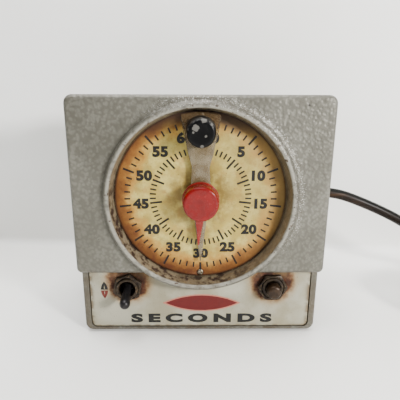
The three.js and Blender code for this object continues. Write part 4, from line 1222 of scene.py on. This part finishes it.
def rubber_feet():
    x, y = FOOT_X, FOOT_Y[0]
    top = CASE_LOW - GAP
    profile = [(0, 0.25), (3.4, 0.2), (3.8, 0), (5.3, 0), (5.75, 0.1), (5.95, 0.35), (5.85, top - 0.15),
               (5.7, top), (2, top),
               (2, CASE_LOW + 2.2), (1.7, CASE_LOW + 2.6), (0, CASE_LOW + 2.6)]
    foot = spun("foot", [at(x + r, y, h) for r, h in profile], steps=40, axis=(0, 0, 1), centre=at(x, y, 0))
    for i in range(4):
        side, row = (-1, 1)[i % 2], i // 2
        twin = shifted(copy_at(foot, f"rubber_foot_{i + 1}"), (side - 1) * x, FOOT_Y[row] - y, 0)
        done(twin, RUBBER, "case", "rubber", f"foot_{i + 1}")
    bpy.data.objects.remove(foot)


# --- Lead fittings ---

def strain_relief():
    """A flanged rubber sleeve that tapers along the lead, ringed with grooves."""
    tip = ends("strain_relief", 0)[1]
    start = ends("strain_relief", 0)[0]
    profile = [(start, 0), (start, 6.3), (start + 0.3, 6.6), (start + 2.3, 6.6), (start + 2.6, 6.3),
               (start + 2.6, 4.9),
               (COVER_X + 0.3, 4.9), (COVER_X + 0.3, 6.1), (COVER_X + 0.6, 6.4), (COVER_X + 2.6, 6.4),
               (COVER_X + 3.1, 6.1)]
    ribs = 6
    pitch = (tip - COVER_X - 4.4) / ribs
    for i in range(ribs):
        x = COVER_X + 3.4 + pitch * i
        r = 5.5 - 0.25 * i
        profile += [(x, r - 0.1), (x + 0.2, r), (x + pitch - 0.9, r - 0.2), (x + pitch - 0.7, r - 0.3),
                    (x + pitch - 0.6, r - 0.95), (x + pitch - 0.15, r - 0.95)]
    profile += [(tip - 0.5, 4.0), (tip - 0.15, 3.85), (tip, 3.6), (tip, 0)]
    sleeve = spun("lead_sleeve", [at(x, EXIT_Y, EXIT_Z + r) for x, r in profile], steps=40, axis=(1, 0, 0),
                  centre=at(0, EXIT_Y, EXIT_Z))
    return done(sleeve, RUBBER, "case", "rubber", "strain_relief")


def plug_body():
    """A flat moulded plug lying on the table."""
    x0, x1 = ends("plug_body", 0)
    y = middle("plug_body", 1)
    high = ends("plug_body", 2)[1]
    side = flowing([(0, 4.2), (5, 4.8), (8, 7), (11, 10.6), (15, 12), (x1 - x0 - 1, 12), (x1 - x0, 11.9)],
                   3)
    plan = [(x0 + a, y + b) for a, b in side] + [(x0 + a, y - b) for a, b in reversed(side)]
    chain([at(a, b, 0) for a, b in plan + plan[:1]])
    bpy.ops.mesh.remove_doubles(threshold=1e-7)
    bpy.ops.mesh.edge_face_add()
    bpy.ops.mesh.extrude_region_move(TRANSFORM_OT_translate={"value": (0, 0, high * MM)})
    close_up()
    plug = settle("moulded_plug")
    soften(plug, 1.9, 5, 50)
    grooves = []
    for i in range(4):
        for level in (high + 0.9, -0.9):
            gx = x0 + 14 + 2.6 * i
            grooves.append(block("groove", gx, gx + 1, y - 7, y + 7, level - 1.4, level + 1.4))
    combine(plug, "DIFFERENCE", as_one("grooves", grooves))
    sockets = [block("socket", x1 - 5, x1 + 1, y + s * 6.35 - 1.05, y + s * 6.35 + 1.05, 3,
                     10) for s in (-1, 1)]
    combine(plug, "DIFFERENCE", as_one("sockets", sockets))
    return done(plug, RUBBER, "case", "rubber", "plug_body")


front_housing()
control_panel()
panel_print()
dial_plate()
dial_scale()
dial_numbers()
dial_screws()
set_arm()
set_knob()
hand_hub()
hand_pointer()
control_nut("toggle_hexagon", "toggle_nut", -CONTROL_X, 0.2)
control_nut("button_hexagon", "button_nut", CONTROL_X, math.pi / 6)
bushing("toggle_sleeve", "toggle_bushing", -CONTROL_X, 4.4, [(4.4, PANEL_WALL_BACK_Y)], BRONZE)
bushing("button_sleeve", "button_bushing", CONTROL_X, 4.2, [(2.7, PANEL_WALL_BACK_Y), (2.7, 1), (4.2, 1)],
        BRONZE)
toggle_lever()
start_button()
back_cover()
outlet("safelight_outlet", "outlet_safelight")
outlet("enlarger_outlet", "outlet_enlarger")
cover_screws()
rubber_feet()
tuple(at(*LEAD[0]))
strain_relief()
plug_body()


# --- Movement, motor and other inner parts ---

INNER_FINISHES = [
    (BRASS, ["set_arm_bushing", "main_wheel", "trip_cam", "drive_pinion", "movement_front_plate",
             "movement_rear_plate", "plug_blade"]),
    (STEEL, ["friction_washer", "main_arbor", "return_spring", "movement_pillar", "pillar_nut",
             "trip_switch_lever",
             "motor_gearcase", "motor_field", "motor_rotor", "start_button_spring"]),
    (SCREW, ["set_knob_screw"]),
    (TAPE, ["motor_coil"]),
    (BAKELITE, ["trip_switch", "toggle_body", "button_body"]),
]


def finish_inner_parts():
    for paint, names in INNER_FINISHES:
        for node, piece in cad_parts.items():
            if node in names or node.rstrip("_1234") in names:
                piece.data.materials.clear()
                piece.data.materials.append(paint)


finish_inner_parts()


# --- Backdrop and light ---

def backdrop():
    """A table and a wall in one sheet of paper, joined by a soft bend."""
    wall_y, bend = 122, 6
    bent = [(wall_y - bend + bend * math.sin(math.radians(a)), bend - bend * math.cos(math.radians(a)))
            for a in range(0, 91, 10)]
    chain([at(-1500, y, z) for y, z in [(-900, 0), (-300, 0), (0, 0)] + bent + [(wall_y, 400),
                                                                                (wall_y, 1200)]])
    bpy.ops.mesh.extrude_region_move(TRANSFORM_OT_translate={"value": (3.0, 0, 0)})
    paper = settle("backdrop")
    paper.rotation_euler = (0, 0, math.radians(-3.2))
    fix_place(paper)
    bpy.ops.object.shade_smooth()
    edit(paper)
    bpy.ops.mesh.flip_normals()
    alone(paper)
    paper.data.materials.append(PAPER)


def area_light(name, place, aim, size, power, colour=(1, 1, 1)):
    light = bpy.data.objects.new(name, bpy.data.lights.new(name, "AREA"))
    light.data.shape = "DISK"
    light.data.size = size * MM
    light.data.energy = power
    light.data.color = colour
    light.location = at(*place)
    light.rotation_euler = (at(*aim) - at(*place)).to_track_quat("-Z", "Y").to_euler()
    bpy.context.collection.objects.link(light)


def room_light(strength):
    world = bpy.data.worlds.new("room")
    world.use_nodes = True
    background = world.node_tree.nodes["Background"]
    background.inputs["Color"].default_value = (0.95, 0.97, 1, 1)
    background.inputs["Strength"].default_value = strength
    bpy.context.scene.world = world


backdrop()
room_light(0.33)
area_light("key", (540, -560, 330), (0, 0, 70), 150, 12.5, (1, 0.985, 0.96))
area_light("overhead", (-60, -60, 900), (0, 30, 0), 600, 15)
